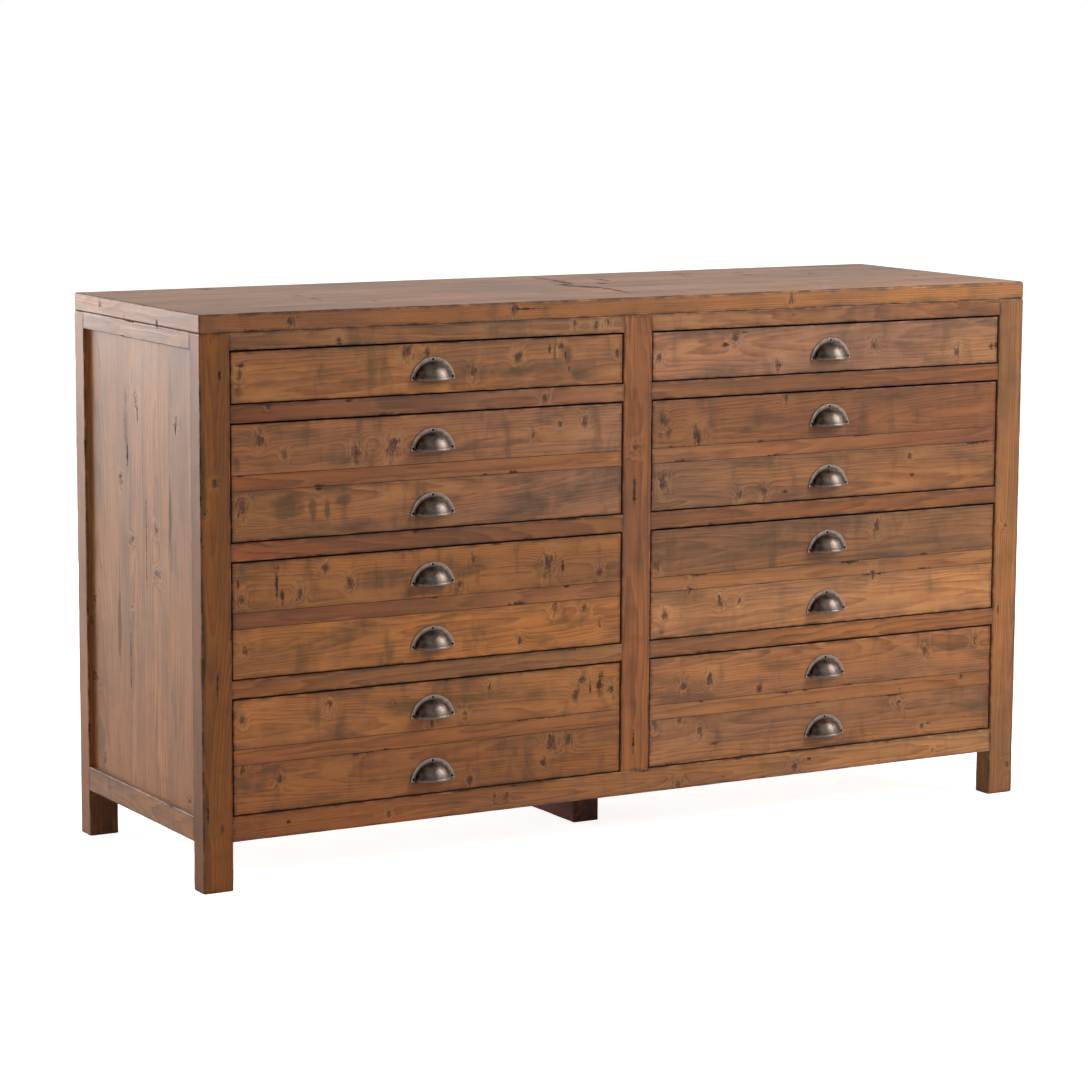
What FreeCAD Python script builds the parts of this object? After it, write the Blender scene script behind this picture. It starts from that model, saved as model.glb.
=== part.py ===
"""Reclaimed-pine chest of eight drawers in the style of a seed storage cabinet.

A mortised frame of posts and rails carries framed side and back panels, a thick top and two
columns of inset drawers.  Each drawer is a dovetailed box that slides on wooden runners,
between guides.  A strip let into each deep drawer front makes it look like two shallow ones, so each
of them has two cup pulls.  Millimetres: +X to the right, +Y to the back, +Z up, with the origin on the
floor at the centre of the overall footprint.
"""
import math
import os

import FreeCAD
import Part

# ---------------------------------------------------------------- driving dimensions
cabinet_width = 1600.0
cabinet_depth = 505.0            # frame and top, without the pulls
cabinet_height = 925.0
top_thickness = 30.0
top_edge_radius = 4.0
foot_clearance = 80.0            # floor to the underside of the bottom rails

post_width = 52.0                # along X, as the front shows it
post_depth = 38.0                # along Y, as the side shows it
post_edge_chamfer = 1.5
foot_chamfer = 4.0
stile_width = 55.0
frame_thickness = 25.0           # side and back rails, and the rear stile
top_rail_height = 28.0
divider_height = 29.0
bottom_rail_height = 41.0
shallow_opening = 86.0           # height of the top drawers' openings

tenon_length = 18.0
tenon_thickness = 12.0
tenon_shoulder = 3.0
joint_clearance = 0.2            # round a tenon in its mortise, and round a panel in its groove

side_panel_thickness = 12.0
back_panel_thickness = 8.0
panel_recess = 10.0              # outer face of a panel behind the outer face of its frame
panel_groove = 8.0

partition_thickness = 18.0
centre_foot_width = 49.0
centre_foot_length = 183.0
runner_thickness = 20.0
runner_ledge = 25.0              # how far a runner reaches into the opening under the drawer
guide_height = 18.0
guide_clearance = 0.5            # between a guide and a drawer side
web_rail_depth = 40.0
stop_width = 40.0
stop_height = 8.0
stop_inset = 90.0                # from the opening's side to a drawer stop
stop_clearance = 0.3

drawer_recess = 1.5              # drawer front behind the face of the frame
front_thickness = 22.0
front_edge_chamfer = 1.5
gap_side = 2.5
gap_top = 3.0
gap_bottom = 2.0
side_thickness = 14.0
side_drop = 14.0                 # drawer side below the top of the drawer front
slide_clearance = 0.3            # between a drawer side and its runner
back_board_thickness = 12.0
back_board_drop = 8.0            # back board below the top of the drawer sides
drawer_tail_room = 18.0          # behind a closed drawer
bottom_thickness = 6.0
bottom_groove = 6.0
bottom_lift = 12.0               # lower edge of the drawer side to the bottom board
false_rail_height = 25.0         # strip that makes a deep drawer look like two shallow ones
false_rail_thickness = 5.0
false_rail_gap = 0.5             # open joint above and below the strip

front_tail_length = 14.0         # of a half-blind dovetail in the drawer front
tail_flare = 1 / 6.0             # slope of a dovetail's cheeks
tail_pitch = 40.0                # aimed-at distance from tail to tail
pin_width = 9.0                  # narrow side of a pin

pull_width = 82.0
pull_height = 37.0               # a little less than a half circle
pull_projection = 24.0
pull_flange_width = 8.0
pull_flange_thickness = 2.0
pull_wall = 2.0
lip_height = 4.5                 # raised band along the lower edge of the dome
lip_thickness = 1.0
dome_flat_radius = 7.0           # of the flat middle of the dome's front
dome_bands = 3                   # flats from the rim of the dome to its front
pull_flats = 16                  # flats round the half circle

# ---------------------------------------------------------------- places worked out from them
half_width = cabinet_width / 2
front_y = (pull_projection - drawer_recess - cabinet_depth) / 2
back_y = front_y + cabinet_depth
frame_back_y = front_y + post_depth
rear_post_y = back_y - post_depth
rear_frame_y = back_y - frame_thickness
under_top = cabinet_height - top_thickness
post_inner = half_width - post_width
stile_edge = stile_width / 2
bottom_rail_top = foot_clearance + bottom_rail_height
deep_drawers = 3
deep_opening = (under_top - top_rail_height - shallow_opening - deep_drawers * divider_height
                - bottom_rail_top) / deep_drawers
face_y = front_y + drawer_recess
front_back_y = face_y + front_thickness
drawer_end_y = rear_frame_y - drawer_tail_room
pull_radius = (pull_width ** 2 / 4 + pull_height ** 2) / (2 * pull_height)
pull_centre_drop = pull_radius - pull_height    # from the pull's lower edge down to its centre


def drawer_openings():
    """(number from the top, lower edge, upper edge) of each drawer opening."""
    openings = []
    upper = under_top - top_rail_height
    for number in range(1, deep_drawers + 2):
        lower = upper - (shallow_opening if number == 1 else deep_opening)
        openings.append((number, lower, upper))
        upper = lower - divider_height
    return openings


OPENINGS = drawer_openings()
# Each column: its name, the sign of its side of the cabinet.
COLUMNS = [("left", -1), ("right", 1)]


# ---------------------------------------------------------------- small helpers
def block(x, y, z):
    """A box between two limits along each axis, in any order."""
    lows = [min(pair) for pair in (x, y, z)]
    sizes = [abs(pair[1] - pair[0]) for pair in (x, y, z)]
    return Part.makeBox(*sizes, FreeCAD.Vector(*lows))


def grown(pair, by):
    """The limits of a span made longer by the same amount at both ends."""
    return (min(pair) - by, max(pair) + by)


def prism(points, thickness):
    """A flat outline of vectors, pushed along X by its thickness."""
    face = Part.Face(Part.makePolygon(points + points[:1]))
    return face.extrude(FreeCAD.Vector(thickness, 0, 0))


def edges_at_floor(shape):
    return [e for e in shape.Edges if all(is_near(v.Z, 0) for v in e.Vertexes)]


def upright_edges(shape):
    return [e for e in shape.Edges if is_near(e.Vertexes[0].X, e.Vertexes[-1].X)
            and is_near(e.Vertexes[0].Y, e.Vertexes[-1].Y)]


def is_near(a, b):
    return abs(a - b) < 1e-6


def export(name, solids):
    shape = solids[0] if len(solids) == 1 else Part.makeCompound(solids)
    shape.exportStep(os.path.join("parts", name + ".step"))


# ---------------------------------------------------------------- frame joints
def tenon_span(height_span, groove_below=0.0, groove_above=0.0):
    """Vertical limits of a tenon, clear of the panel grooves in its rail."""
    low, high = height_span
    return (low + max(tenon_shoulder, groove_below), high - max(tenon_shoulder, groove_above))


def front_tenon_y():
    """Front rails: the tenon's limits through the thickness of the frame."""
    middle = front_y + post_depth / 2
    return (middle - tenon_thickness / 2, middle + tenon_thickness / 2)


def side_tenon_x(side):
    """Side rails: the tenon's limits through the thickness of the rail."""
    middle = side * (half_width - frame_thickness / 2)
    return (middle - tenon_thickness / 2, middle + tenon_thickness / 2)


def back_tenon_y():
    middle = back_y - frame_thickness / 2
    return (middle - tenon_thickness / 2, middle + tenon_thickness / 2)


def front_rail_heights():
    """Limits of every rail that meets both the post and the centre stile."""
    heights = [(under_top - top_rail_height, under_top)]
    heights += [(lower - divider_height, lower) for number, lower, upper in OPENINGS[:-1]]
    return heights


BOTTOM_HEIGHTS = (foot_clearance, bottom_rail_top)
TOP_HEIGHTS = (under_top - top_rail_height, under_top)


def front_rail(side, heights):
    """A rail between the post and the centre stile, with a tenon at each end."""
    body = block((side * post_inner, side * stile_edge), (front_y, frame_back_y), heights)
    tenon = block((side * (post_inner + tenon_length), side * (stile_edge - tenon_length)),
                  front_tenon_y(), tenon_span(heights))
    return body.fuse(tenon).removeSplitter()


def front_bottom_rail():
    """The one long rail, under the centre stile, which is tenoned into it."""
    body = block((-post_inner, post_inner), (front_y, frame_back_y), BOTTOM_HEIGHTS)
    tenon = block(grown((-post_inner, post_inner), tenon_length), front_tenon_y(), tenon_span(BOTTOM_HEIGHTS))
    mortise = block(grown(stile_tenon_x(), joint_clearance), grown(front_tenon_y(), joint_clearance),
                    (bottom_rail_top - tenon_length - joint_clearance, bottom_rail_top))
    return body.fuse(tenon).removeSplitter().cut(mortise)


def stile_tenon_x():
    """The stile's own tenon, which is narrower than the stile."""
    return (-stile_edge + tenon_shoulder, stile_edge - tenon_shoulder)


def front_centre_stile():
    body = block((-stile_edge, stile_edge), (front_y, frame_back_y), (bottom_rail_top, under_top))
    for side in (-1, 1):
        for heights in front_rail_heights():
            mortise = block((side * stile_edge, side * (stile_edge - tenon_length - joint_clearance)),
                            grown(front_tenon_y(), joint_clearance), grown(tenon_span(heights), joint_clearance))
            body = body.cut(mortise)
    tenon = block(stile_tenon_x(), front_tenon_y(), (bottom_rail_top - tenon_length, bottom_rail_top))
    return body.fuse(tenon).removeSplitter()


def panel_span_z():
    """Vertical limits of the panels, which reach into the grooves of their rails."""
    reach = panel_groove - joint_clearance
    return (bottom_rail_top - reach, under_top - top_rail_height + reach)


def groove_span_z():
    return (bottom_rail_top - panel_groove, under_top - top_rail_height + panel_groove)


def side_panel_x(side, clearance=0.0):
    """Limits of a side panel or, with a clearance, of the groove that it stands in."""
    outer = half_width - panel_recess
    return grown((side * outer, side * (outer - side_panel_thickness)), clearance)


def back_panel_y(clearance=0.0):
    outer = back_y - panel_recess
    return grown((outer, outer - back_panel_thickness), clearance)


def post(side, at_front):
    """A corner post: edges knocked off, mortises for its rails and grooves for its panels."""
    y_span = (front_y, frame_back_y) if at_front else (rear_post_y, back_y)
    inner_y = frame_back_y if at_front else rear_post_y
    into_post = -1 if at_front else 1
    body = block((side * post_inner, side * half_width), y_span, (0, under_top))
    body = body.makeChamfer(foot_chamfer, edges_at_floor(body))
    body = body.makeChamfer(post_edge_chamfer, upright_edges(body))
    # Side rails, front or rear face of the post.
    mortise_end = inner_y + into_post * (tenon_length + joint_clearance)
    for heights, below, above in ((BOTTOM_HEIGHTS, 0, panel_groove), (TOP_HEIGHTS, panel_groove, 0)):
        body = body.cut(block(grown(side_tenon_x(side), joint_clearance), (inner_y, mortise_end),
                              grown(tenon_span(heights, below, above), joint_clearance)))
    body = body.cut(block(side_panel_x(side, joint_clearance), (inner_y, inner_y + into_post * panel_groove),
                          groove_span_z()))
    # Front or back rails, inner face of the post.
    mortise_x = (side * post_inner, side * (post_inner + tenon_length + joint_clearance))
    if at_front:
        for heights in front_rail_heights() + [BOTTOM_HEIGHTS]:
            body = body.cut(block(mortise_x, grown(front_tenon_y(), joint_clearance),
                                  grown(tenon_span(heights), joint_clearance)))
    else:
        for heights, below, above in ((BOTTOM_HEIGHTS, 0, panel_groove), (TOP_HEIGHTS, panel_groove, 0)):
            body = body.cut(block(mortise_x, grown(back_tenon_y(), joint_clearance),
                                  grown(tenon_span(heights, below, above), joint_clearance)))
        body = body.cut(block((side * post_inner, side * (post_inner + panel_groove)),
                              back_panel_y(joint_clearance), groove_span_z()))
    return body


def side_rail(side, heights, groove_at_top):
    """A side rail with tenons in both posts and a groove for the panel."""
    x_span = (side * half_width, side * (half_width - frame_thickness))
    body = block(x_span, (frame_back_y, rear_post_y), heights)
    below, above = (0, panel_groove) if groove_at_top else (panel_groove, 0)
    tenon = block(side_tenon_x(side), grown((frame_back_y, rear_post_y), tenon_length),
                  tenon_span(heights, below, above))
    body = body.fuse(tenon).removeSplitter()
    edge = heights[1] if groove_at_top else heights[0]
    inward = -panel_groove if groove_at_top else panel_groove
    groove = block(side_panel_x(side, joint_clearance), grown((frame_back_y, rear_post_y), 1),
                   (edge, edge + inward))
    return body.cut(groove)


def side_panel(side):
    reach = panel_groove - joint_clearance
    return block(side_panel_x(side), grown((frame_back_y, rear_post_y), reach), panel_span_z())


def rear_stile_mortise(heights, groove_at_top):
    """The slot in a back rail for the rear stile's tenon."""
    edge = heights[1] if groove_at_top else heights[0]
    depth = (-1 if groove_at_top else 1) * (tenon_length + joint_clearance)
    return block(grown(stile_tenon_x(), joint_clearance), grown(back_tenon_y(), joint_clearance), (edge, edge + depth))


def back_rail(heights, groove_at_top):
    body = block((-post_inner, post_inner), (rear_frame_y, back_y), heights)
    below, above = (0, panel_groove) if groove_at_top else (panel_groove, 0)
    tenon = block(grown((-post_inner, post_inner), tenon_length), back_tenon_y(),
                  tenon_span(heights, below, above))
    body = body.fuse(tenon).removeSplitter()
    edge = heights[1] if groove_at_top else heights[0]
    inward = -panel_groove if groove_at_top else panel_groove
    for side in (-1, 1):
        body = body.cut(block((side * (post_inner + 1), side * (stile_edge - panel_groove)),
                              back_panel_y(joint_clearance), (edge, edge + inward)))
    return body.cut(rear_stile_mortise(heights, groove_at_top))


def rear_centre_stile():
    """The upright between the two back panels, grooved on both edges."""
    span = (bottom_rail_top, under_top - top_rail_height)
    body = block((-stile_edge, stile_edge), (rear_frame_y, back_y), span)
    tenon = block(stile_tenon_x(), back_tenon_y(), grown(span, tenon_length))
    body = body.fuse(tenon).removeSplitter()
    for side in (-1, 1):
        body = body.cut(block((side * stile_edge, side * (stile_edge - panel_groove)),
                              back_panel_y(joint_clearance), grown(span, tenon_length + 1)))
    return body


def back_panel(side):
    reach = panel_groove - joint_clearance
    return block((side * (post_inner + reach), side * (stile_edge - reach)), back_panel_y(), panel_span_z())


def top_panel():
    body = block((-half_width, half_width), (front_y, back_y), (under_top, cabinet_height))
    rim = [e for e in body.Edges if not all(is_near(v.Z, under_top) for v in e.Vertexes)]
    return body.makeFillet(top_edge_radius, rim)


# ---------------------------------------------------------------- inside the case
inner_bottom = bottom_rail_top - runner_thickness      # where the lowest runners lie
partition_face = partition_thickness / 2
web_rail_y = rear_frame_y - web_rail_depth
case_inner = half_width - frame_thickness


def centre_partition():
    return block((-partition_face, partition_face), (frame_back_y, rear_frame_y), (inner_bottom, under_top))


def centre_bearer():
    return block((-stile_edge, stile_edge), (frame_back_y, rear_frame_y), (foot_clearance, inner_bottom))


def centre_foot():
    """A block on the floor under the bearer, with its lower edges knocked off."""
    middle_y = (front_y + back_y) / 2
    body = block((-centre_foot_width / 2, centre_foot_width / 2),
                 (middle_y - centre_foot_length / 2, middle_y + centre_foot_length / 2), (0, foot_clearance))
    return body.makeChamfer(foot_chamfer, edges_at_floor(body))


def case_wall(side, outer):
    """Where a runner starts, where its opening starts, and which way the opening lies along X."""
    if outer:
        return (side * case_inner, side * post_inner, -side)
    return (side * partition_face, side * stile_edge, side)


def runner(side, outer, floor):
    """The ledge that a drawer side slides on."""
    wall, opening, inward = case_wall(side, outer)
    return block((wall, opening + inward * runner_ledge), (frame_back_y, web_rail_y),
                 (floor - runner_thickness, floor))


def guide(side, outer, floor):
    """The strip on a runner that keeps its drawer straight."""
    wall, opening, inward = case_wall(side, outer)
    return block((wall, opening + inward * (gap_side - guide_clearance)), (frame_back_y, web_rail_y),
                 (floor, floor + guide_height))


def web_back_rail(side, floor):
    """The rail across the back of each web frame, which the runners butt against."""
    return block((side * case_inner, side * partition_face), (web_rail_y, rear_post_y), (floor - runner_thickness, floor))


def kicker(side, outer):
    """A strip under the top that keeps an open top drawer from tipping."""
    wall, opening, inward = case_wall(side, outer)
    return block((wall, opening + inward * runner_ledge), (frame_back_y, rear_post_y),
                 (under_top - top_rail_height, under_top))


def drawer_stop(side, floor, from_side):
    """A block on the rail behind the drawer front, which stops the drawer flush."""
    centre = (post_inner - stop_inset) if from_side else (stile_edge + stop_inset)
    return block((side * (centre - stop_width / 2), side * (centre + stop_width / 2)),
                 (front_back_y + stop_clearance, frame_back_y), (floor, floor + stop_height))


# ---------------------------------------------------------------- drawers
def tail_limits(low, high):
    """Tails shared out over a board's width: (lower, upper) limits of each at its narrow root."""
    count = max(2, round((high - low) / tail_pitch))
    pitch = (high - low) / count
    return [(low + i * pitch + pin_width / 2, low + (i + 1) * pitch - pin_width / 2) for i in range(count)]


def front_tails(x, low, high):
    """The tails of one drawer side, which widen into the drawer front."""
    tails = []
    widening = front_tail_length * tail_flare
    for root_low, root_high in tail_limits(low, high):
        outline = [FreeCAD.Vector(x, front_back_y, root_low), FreeCAD.Vector(x, front_back_y, root_high),
                   FreeCAD.Vector(x, front_back_y - front_tail_length, root_high + widening),
                   FreeCAD.Vector(x, front_back_y - front_tail_length, root_low - widening)]
        tails.append(prism(outline, side_thickness))
    return tails


def back_pins(x, low, high):
    """The pins of the back board, which show at the drawer's back corners."""
    root_y = drawer_end_y - back_board_thickness
    narrowing = back_board_thickness * tail_flare
    limits = tail_limits(low, high)
    spans = [(low, limits[0][0])]
    spans += [(a[1], b[0]) for a, b in zip(limits, limits[1:])]
    spans.append((limits[-1][1], high))
    pins = []
    for index, (pin_low, pin_high) in enumerate(spans):
        end_low = pin_low if index == 0 else pin_low + narrowing
        end_high = pin_high if index == len(spans) - 1 else pin_high - narrowing
        outline = [FreeCAD.Vector(x, root_y, pin_low), FreeCAD.Vector(x, root_y, pin_high),
                   FreeCAD.Vector(x, drawer_end_y, end_high), FreeCAD.Vector(x, drawer_end_y, end_low)]
        pins.append(prism(outline, side_thickness))
    return pins


def drawer_limits(side, lower, upper):
    """Everything about one drawer's size that its pieces share."""
    inner, outer = stile_edge + gap_side, post_inner - gap_side
    x_low, x_high = sorted((side * inner, side * outer))
    side_low = lower + slide_clearance
    side_high = upper - gap_top - side_drop
    floor_low = side_low + bottom_lift
    return {
        "x": (x_low, x_high),
        "front_z": (lower + gap_bottom, upper - gap_top),
        "side_z": (side_low, side_high),
        "floor_z": (floor_low, floor_low + bottom_thickness),
        "back_z": (floor_low + bottom_thickness, side_high - back_board_drop),
        "side_x": [x_low, x_high - side_thickness],
    }


def floor_groove(size):
    """The groove round the inside of a drawer for its bottom board."""
    x_low, x_high = size["x"]
    inset = side_thickness - bottom_groove
    return block((x_low + inset, x_high - inset), (front_back_y - bottom_groove, drawer_end_y + 1),
                 grown(size["floor_z"], joint_clearance / 2))


def false_rail_limits(size):
    """Seam heights of a deep front: under its upper board and over its lower board."""
    middle = sum(size["front_z"]) / 2
    return (middle - false_rail_height / 2, middle + false_rail_height / 2)


def false_rail(size, clearance=0.0):
    """The strip let into a deep drawer front or, with a clearance, the housing cut for it."""
    strip = block(size["x"], (face_y, face_y + false_rail_thickness), false_rail_limits(size))
    if clearance:
        strip = block(grown(size["x"], 1), (face_y - 1, face_y + false_rail_thickness),
                      grown(false_rail_limits(size), clearance))
    return strip


def drawer_front(size, is_deep):
    """The front board with its dovetail sockets, its groove for the bottom and its housing."""
    body = block(size["x"], (face_y, front_back_y), size["front_z"])
    rim = [e for e in body.Edges if all(is_near(v.Y, face_y) for v in e.Vertexes)]
    body = body.makeChamfer(front_edge_chamfer, rim)
    if is_deep:
        body = body.cut(false_rail(size, false_rail_gap))
    for x in size["side_x"]:
        for tail in front_tails(x, *tail_zone(size)):
            body = body.cut(tail)
    return body.cut(floor_groove(size))


def tail_zone(size):
    """Height over which a side is dovetailed: above the groove, and below the side's top."""
    return (size["floor_z"][1] + tenon_shoulder, size["side_z"][1])


def drawer_side(size, x):
    body = block((x, x + side_thickness), (front_back_y, drawer_end_y), size["side_z"])
    for tail in front_tails(x, *tail_zone(size)):
        body = body.fuse(tail)
    body = body.removeSplitter().cut(floor_groove(size))
    for pin in back_pins(x, *size["back_z"]):
        body = body.cut(pin)
    return body


def drawer_back(size):
    x_low, x_high = size["x"]
    body = block((x_low + side_thickness, x_high - side_thickness),
                 (drawer_end_y - back_board_thickness, drawer_end_y), size["back_z"])
    for x in size["side_x"]:
        for pin in back_pins(x, *size["back_z"]):
            body = body.fuse(pin)
    return body.removeSplitter()


def drawer_bottom(size):
    x_low, x_high = size["x"]
    inset = side_thickness - bottom_groove + joint_clearance
    return block((x_low + inset, x_high - inset),
                 (front_back_y - bottom_groove + joint_clearance, drawer_end_y), size["floor_z"])


# ---------------------------------------------------------------- cup pulls
def pull_places(size, is_deep):
    """Middle of the flat lower edge of each pull, on the face of the drawer front."""
    x = sum(size["x"]) / 2
    low, high = size["front_z"]
    spans = [(low, high)]
    if is_deep:
        rail_low, rail_high = false_rail_limits(size)
        spans = [(rail_high, high), (low, rail_low)]
    return [FreeCAD.Vector(x, face_y, (a + b - pull_height) / 2) for a, b in spans]


def dome_curve(radius, depth):
    """Points on a quarter ellipse, from the rim of the cup to the flat middle of its front."""
    angles = [math.pi / 2 * step / dome_bands for step in range(dome_bands + 1)]
    curve = [FreeCAD.Vector(dome_flat_radius + (radius - dome_flat_radius) * math.cos(angle),
                            -depth * math.sin(angle), 0) for angle in angles]
    return curve + [FreeCAD.Vector(0, -depth, 0)]


def turned_in_flats(profile):
    """A profile turned half a circle about the Y axis, from +X over +Z, in equal flats."""
    turn = FreeCAD.Vector(0, -1, 0)
    outlines = [[FreeCAD.Rotation(turn, 180 * step / pull_flats).multVec(point) for point in profile]
                for step in range(pull_flats + 1)]
    corners = [outlines[0], outlines[-1]]
    for near, far in zip(outlines, outlines[1:]):
        for i in range(len(profile)):
            strip = [near[i - 1], near[i], far[i], far[i - 1]]
            corners.append([p for i, p in enumerate(strip) if p.distanceToPoint(strip[i - 1]) > 1e-6])
    faces = [Part.Face(Part.makePolygon(points + points[:1])) for points in corners if len(points) > 2]
    return Part.makeSolid(Part.makeShell(faces)).removeSplitter()


def dome_profile(radius, depth, wall):
    """Half of a section through the dome: out from its rim to its front, and back inside."""
    return dome_curve(radius, depth) + dome_curve(radius - wall, depth - wall)[::-1]


def slice_of(body, low, high):
    """What lies between two heights above the pull's centre."""
    wide = (-pull_width, pull_width)
    return body.common(block(wide, wide, (low, high)))


def cup_pull(place):
    """A cast dome on a rounded flange, with a lip along the edge that the fingers hook over."""
    cup_radius = pull_radius - pull_flange_width
    dome_depth = pull_projection - lip_thickness
    flange_back = FreeCAD.Vector(pull_radius, 0, 0)
    flange_front = FreeCAD.Vector(pull_radius, -pull_flange_thickness, 0)
    dome_foot = FreeCAD.Vector(cup_radius, -pull_flange_thickness, 0)
    section = [flange_back, flange_front, dome_foot] + dome_profile(cup_radius, dome_depth, pull_wall)[1:]
    body = slice_of(turned_in_flats(section), pull_centre_drop, pull_radius)
    thickened = dome_profile(cup_radius + lip_thickness, pull_projection, pull_wall + lip_thickness)
    lip = slice_of(turned_in_flats(thickened), pull_centre_drop, pull_centre_drop + lip_height)
    body = body.fuse(lip).removeSplitter()
    body.translate(place - FreeCAD.Vector(0, 0, pull_centre_drop))
    return body


# ---------------------------------------------------------------- write every piece
def write_carcass():
    export("top_panel", [top_panel()])
    for place, at_front in (("front", True), ("rear", False)):
        for name, side in COLUMNS:
            export(f"{place}_{name}_post", [post(side, at_front)])
    export("front_centre_stile", [front_centre_stile()])
    export("rear_centre_stile", [rear_centre_stile()])
    export("front_bottom_rail", [front_bottom_rail()])
    top_heights, divider_heights = front_rail_heights()[0], front_rail_heights()[1:]
    export("front_top_rails", [front_rail(side, top_heights) for name, side in COLUMNS])
    for name, side in COLUMNS:
        export(f"{name}_divider_rails", [front_rail(side, heights) for heights in divider_heights])
        export(f"{name}_side_top_rail", [side_rail(side, TOP_HEIGHTS, False)])
        export(f"{name}_side_bottom_rail", [side_rail(side, BOTTOM_HEIGHTS, True)])
        export(f"{name}_side_panel", [side_panel(side)])
        export(f"{name}_back_panel", [back_panel(side)])
    export("back_top_rail", [back_rail(TOP_HEIGHTS, False)])
    export("back_bottom_rail", [back_rail(BOTTOM_HEIGHTS, True)])
    export("centre_partition", [centre_partition()])
    export("centre_bearer", [centre_bearer()])
    export("centre_foot", [centre_foot()])


def write_inner_frames():
    both_ends = (True, False)
    export("drawer_runners", [runner(side, outer, lower) for name, side in COLUMNS
                              for number, lower, upper in OPENINGS for outer in both_ends])
    export("drawer_guides", [guide(side, outer, lower) for name, side in COLUMNS
                             for number, lower, upper in OPENINGS for outer in both_ends])
    export("web_back_rails", [web_back_rail(side, lower) for name, side in COLUMNS
                              for number, lower, upper in OPENINGS])
    export("top_kickers", [kicker(side, outer) for name, side in COLUMNS for outer in both_ends])
    export("drawer_stops", [drawer_stop(side, lower, end) for name, side in COLUMNS
                            for number, lower, upper in OPENINGS for end in both_ends])


def write_drawers():
    for column, side in COLUMNS:
        for number, lower, upper in OPENINGS:
            name = f"{column}_drawer_{number}"
            is_deep = number > 1
            size = drawer_limits(side, lower, upper)
            export(f"{name}_front", [drawer_front(size, is_deep)])
            if is_deep:
                export(f"{name}_false_rail", [false_rail(size)])
            export(f"{name}_box", [drawer_side(size, x) for x in size["side_x"]]
                   + [drawer_back(size), drawer_bottom(size)])
            export(f"{name}_pulls", [cup_pull(place) for place in pull_places(size, is_deep)])


os.makedirs("parts", exist_ok=True)
write_carcass()
write_inner_frames()
write_drawers()
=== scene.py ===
# %% [markdown]
# # A reclaimed-pine cabinet with eight drawers
# Old floor and roof boards were sawn into posts, rails and drawer fronts, then sanded, stained
# and waxed. Every board keeps its knots, nail holes and dents, and its arrises are worn round.
# This file only dresses it.

# %% Load the frame
import math
import random

import bmesh
import bpy
import numpy as np
from mathutils import Matrix, Vector


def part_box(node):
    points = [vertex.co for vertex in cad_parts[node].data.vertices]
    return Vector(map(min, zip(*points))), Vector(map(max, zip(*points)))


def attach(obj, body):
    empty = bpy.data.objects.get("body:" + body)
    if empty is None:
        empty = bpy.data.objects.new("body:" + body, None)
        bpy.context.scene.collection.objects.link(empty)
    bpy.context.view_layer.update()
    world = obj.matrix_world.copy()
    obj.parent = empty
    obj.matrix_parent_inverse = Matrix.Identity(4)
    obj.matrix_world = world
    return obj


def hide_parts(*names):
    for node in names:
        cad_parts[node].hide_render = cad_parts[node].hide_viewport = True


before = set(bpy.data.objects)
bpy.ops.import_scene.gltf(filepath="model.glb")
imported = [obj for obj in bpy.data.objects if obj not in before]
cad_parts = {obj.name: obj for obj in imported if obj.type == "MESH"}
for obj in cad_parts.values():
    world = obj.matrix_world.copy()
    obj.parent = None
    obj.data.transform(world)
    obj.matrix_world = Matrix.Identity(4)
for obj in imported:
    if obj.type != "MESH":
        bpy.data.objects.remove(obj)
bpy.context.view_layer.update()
MM = 0.001

# %% [markdown]
# ## Camera
# The camera stands to the left of the cabinet and a little above it, far enough away for a long
# lens. Its place is given from the lower front left corner of the frame, in cabinet heights, so
# it follows the frame if the cabinet's size changes.

# %% Camera
frame_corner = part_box("front_left_post")[0]
cabinet_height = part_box("top_panel")[1].z
camera_offset = Vector((-2.4605, -5.4525, 1.5017))
camera_yaw = 0.5213
camera_pitch = -0.148
camera_roll = 0.0052
look = Vector((math.sin(camera_yaw) * math.cos(camera_pitch),
               math.cos(camera_yaw) * math.cos(camera_pitch), math.sin(camera_pitch)))
level_right = Vector((math.cos(camera_yaw), -math.sin(camera_yaw), 0))
level_up = level_right.cross(look)
camera_right = math.cos(camera_roll) * level_right + math.sin(camera_roll) * level_up
camera_up = camera_right.cross(look)
turn = Matrix((camera_right, camera_up, -look)).transposed().to_4x4()
camera = bpy.data.objects.new("camera", bpy.data.cameras.new("camera"))
camera.data.sensor_width = 36
camera.data.lens = 117.49
camera.matrix_world = Matrix.Translation(frame_corner + camera_offset * cabinet_height) @ turn
bpy.context.scene.collection.objects.link(camera)
bpy.context.scene.camera = camera
bpy.context.scene.view_settings.view_transform = "Standard"
print("camera at", [round(value, 3) for value in camera.matrix_world.translation])

# %% [markdown]
# ## Colours and nodes
# Colours are written as sRGB hex values, as a paint chart gives them, and one function turns them
# to linear light. One more function adds any node: its settings, and what feeds its sockets.


# %% Colours and nodes
def linear(hex_colour):
    """An sRGB hex colour as linear RGBA."""
    channels = [int(hex_colour[i:i + 2], 16) / 255 for i in (1, 3, 5)]
    return tuple(c / 12.92 if c <= 0.04045 else ((c + 0.055) / 1.055) ** 2.4 for c in channels) + (1.0,)


def add(tree, kind, *sources, give=0, **settings):
    """Add a node. Sources are values or outputs, in socket order or as {socket: source}."""
    node = tree.nodes.new("ShaderNode" + kind)
    for key, value in settings.items():
        setattr(node, key, value)
    by_socket = sources[0] if sources and isinstance(sources[0], dict) else dict(enumerate(sources))
    for socket, source in by_socket.items():
        if isinstance(source, bpy.types.NodeSocket):
            tree.links.new(source, node.inputs[socket])
        else:
            node.inputs[socket].default_value = source
    return node.outputs[give] if node.outputs else node


def new_tree(owner):
    """An empty node tree for a material or world."""
    owner.use_nodes = True
    owner.node_tree.nodes.clear()
    return owner.node_tree


print("stained pine in linear light:", [round(c, 3) for c in linear("#8a5b3a")])

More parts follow.
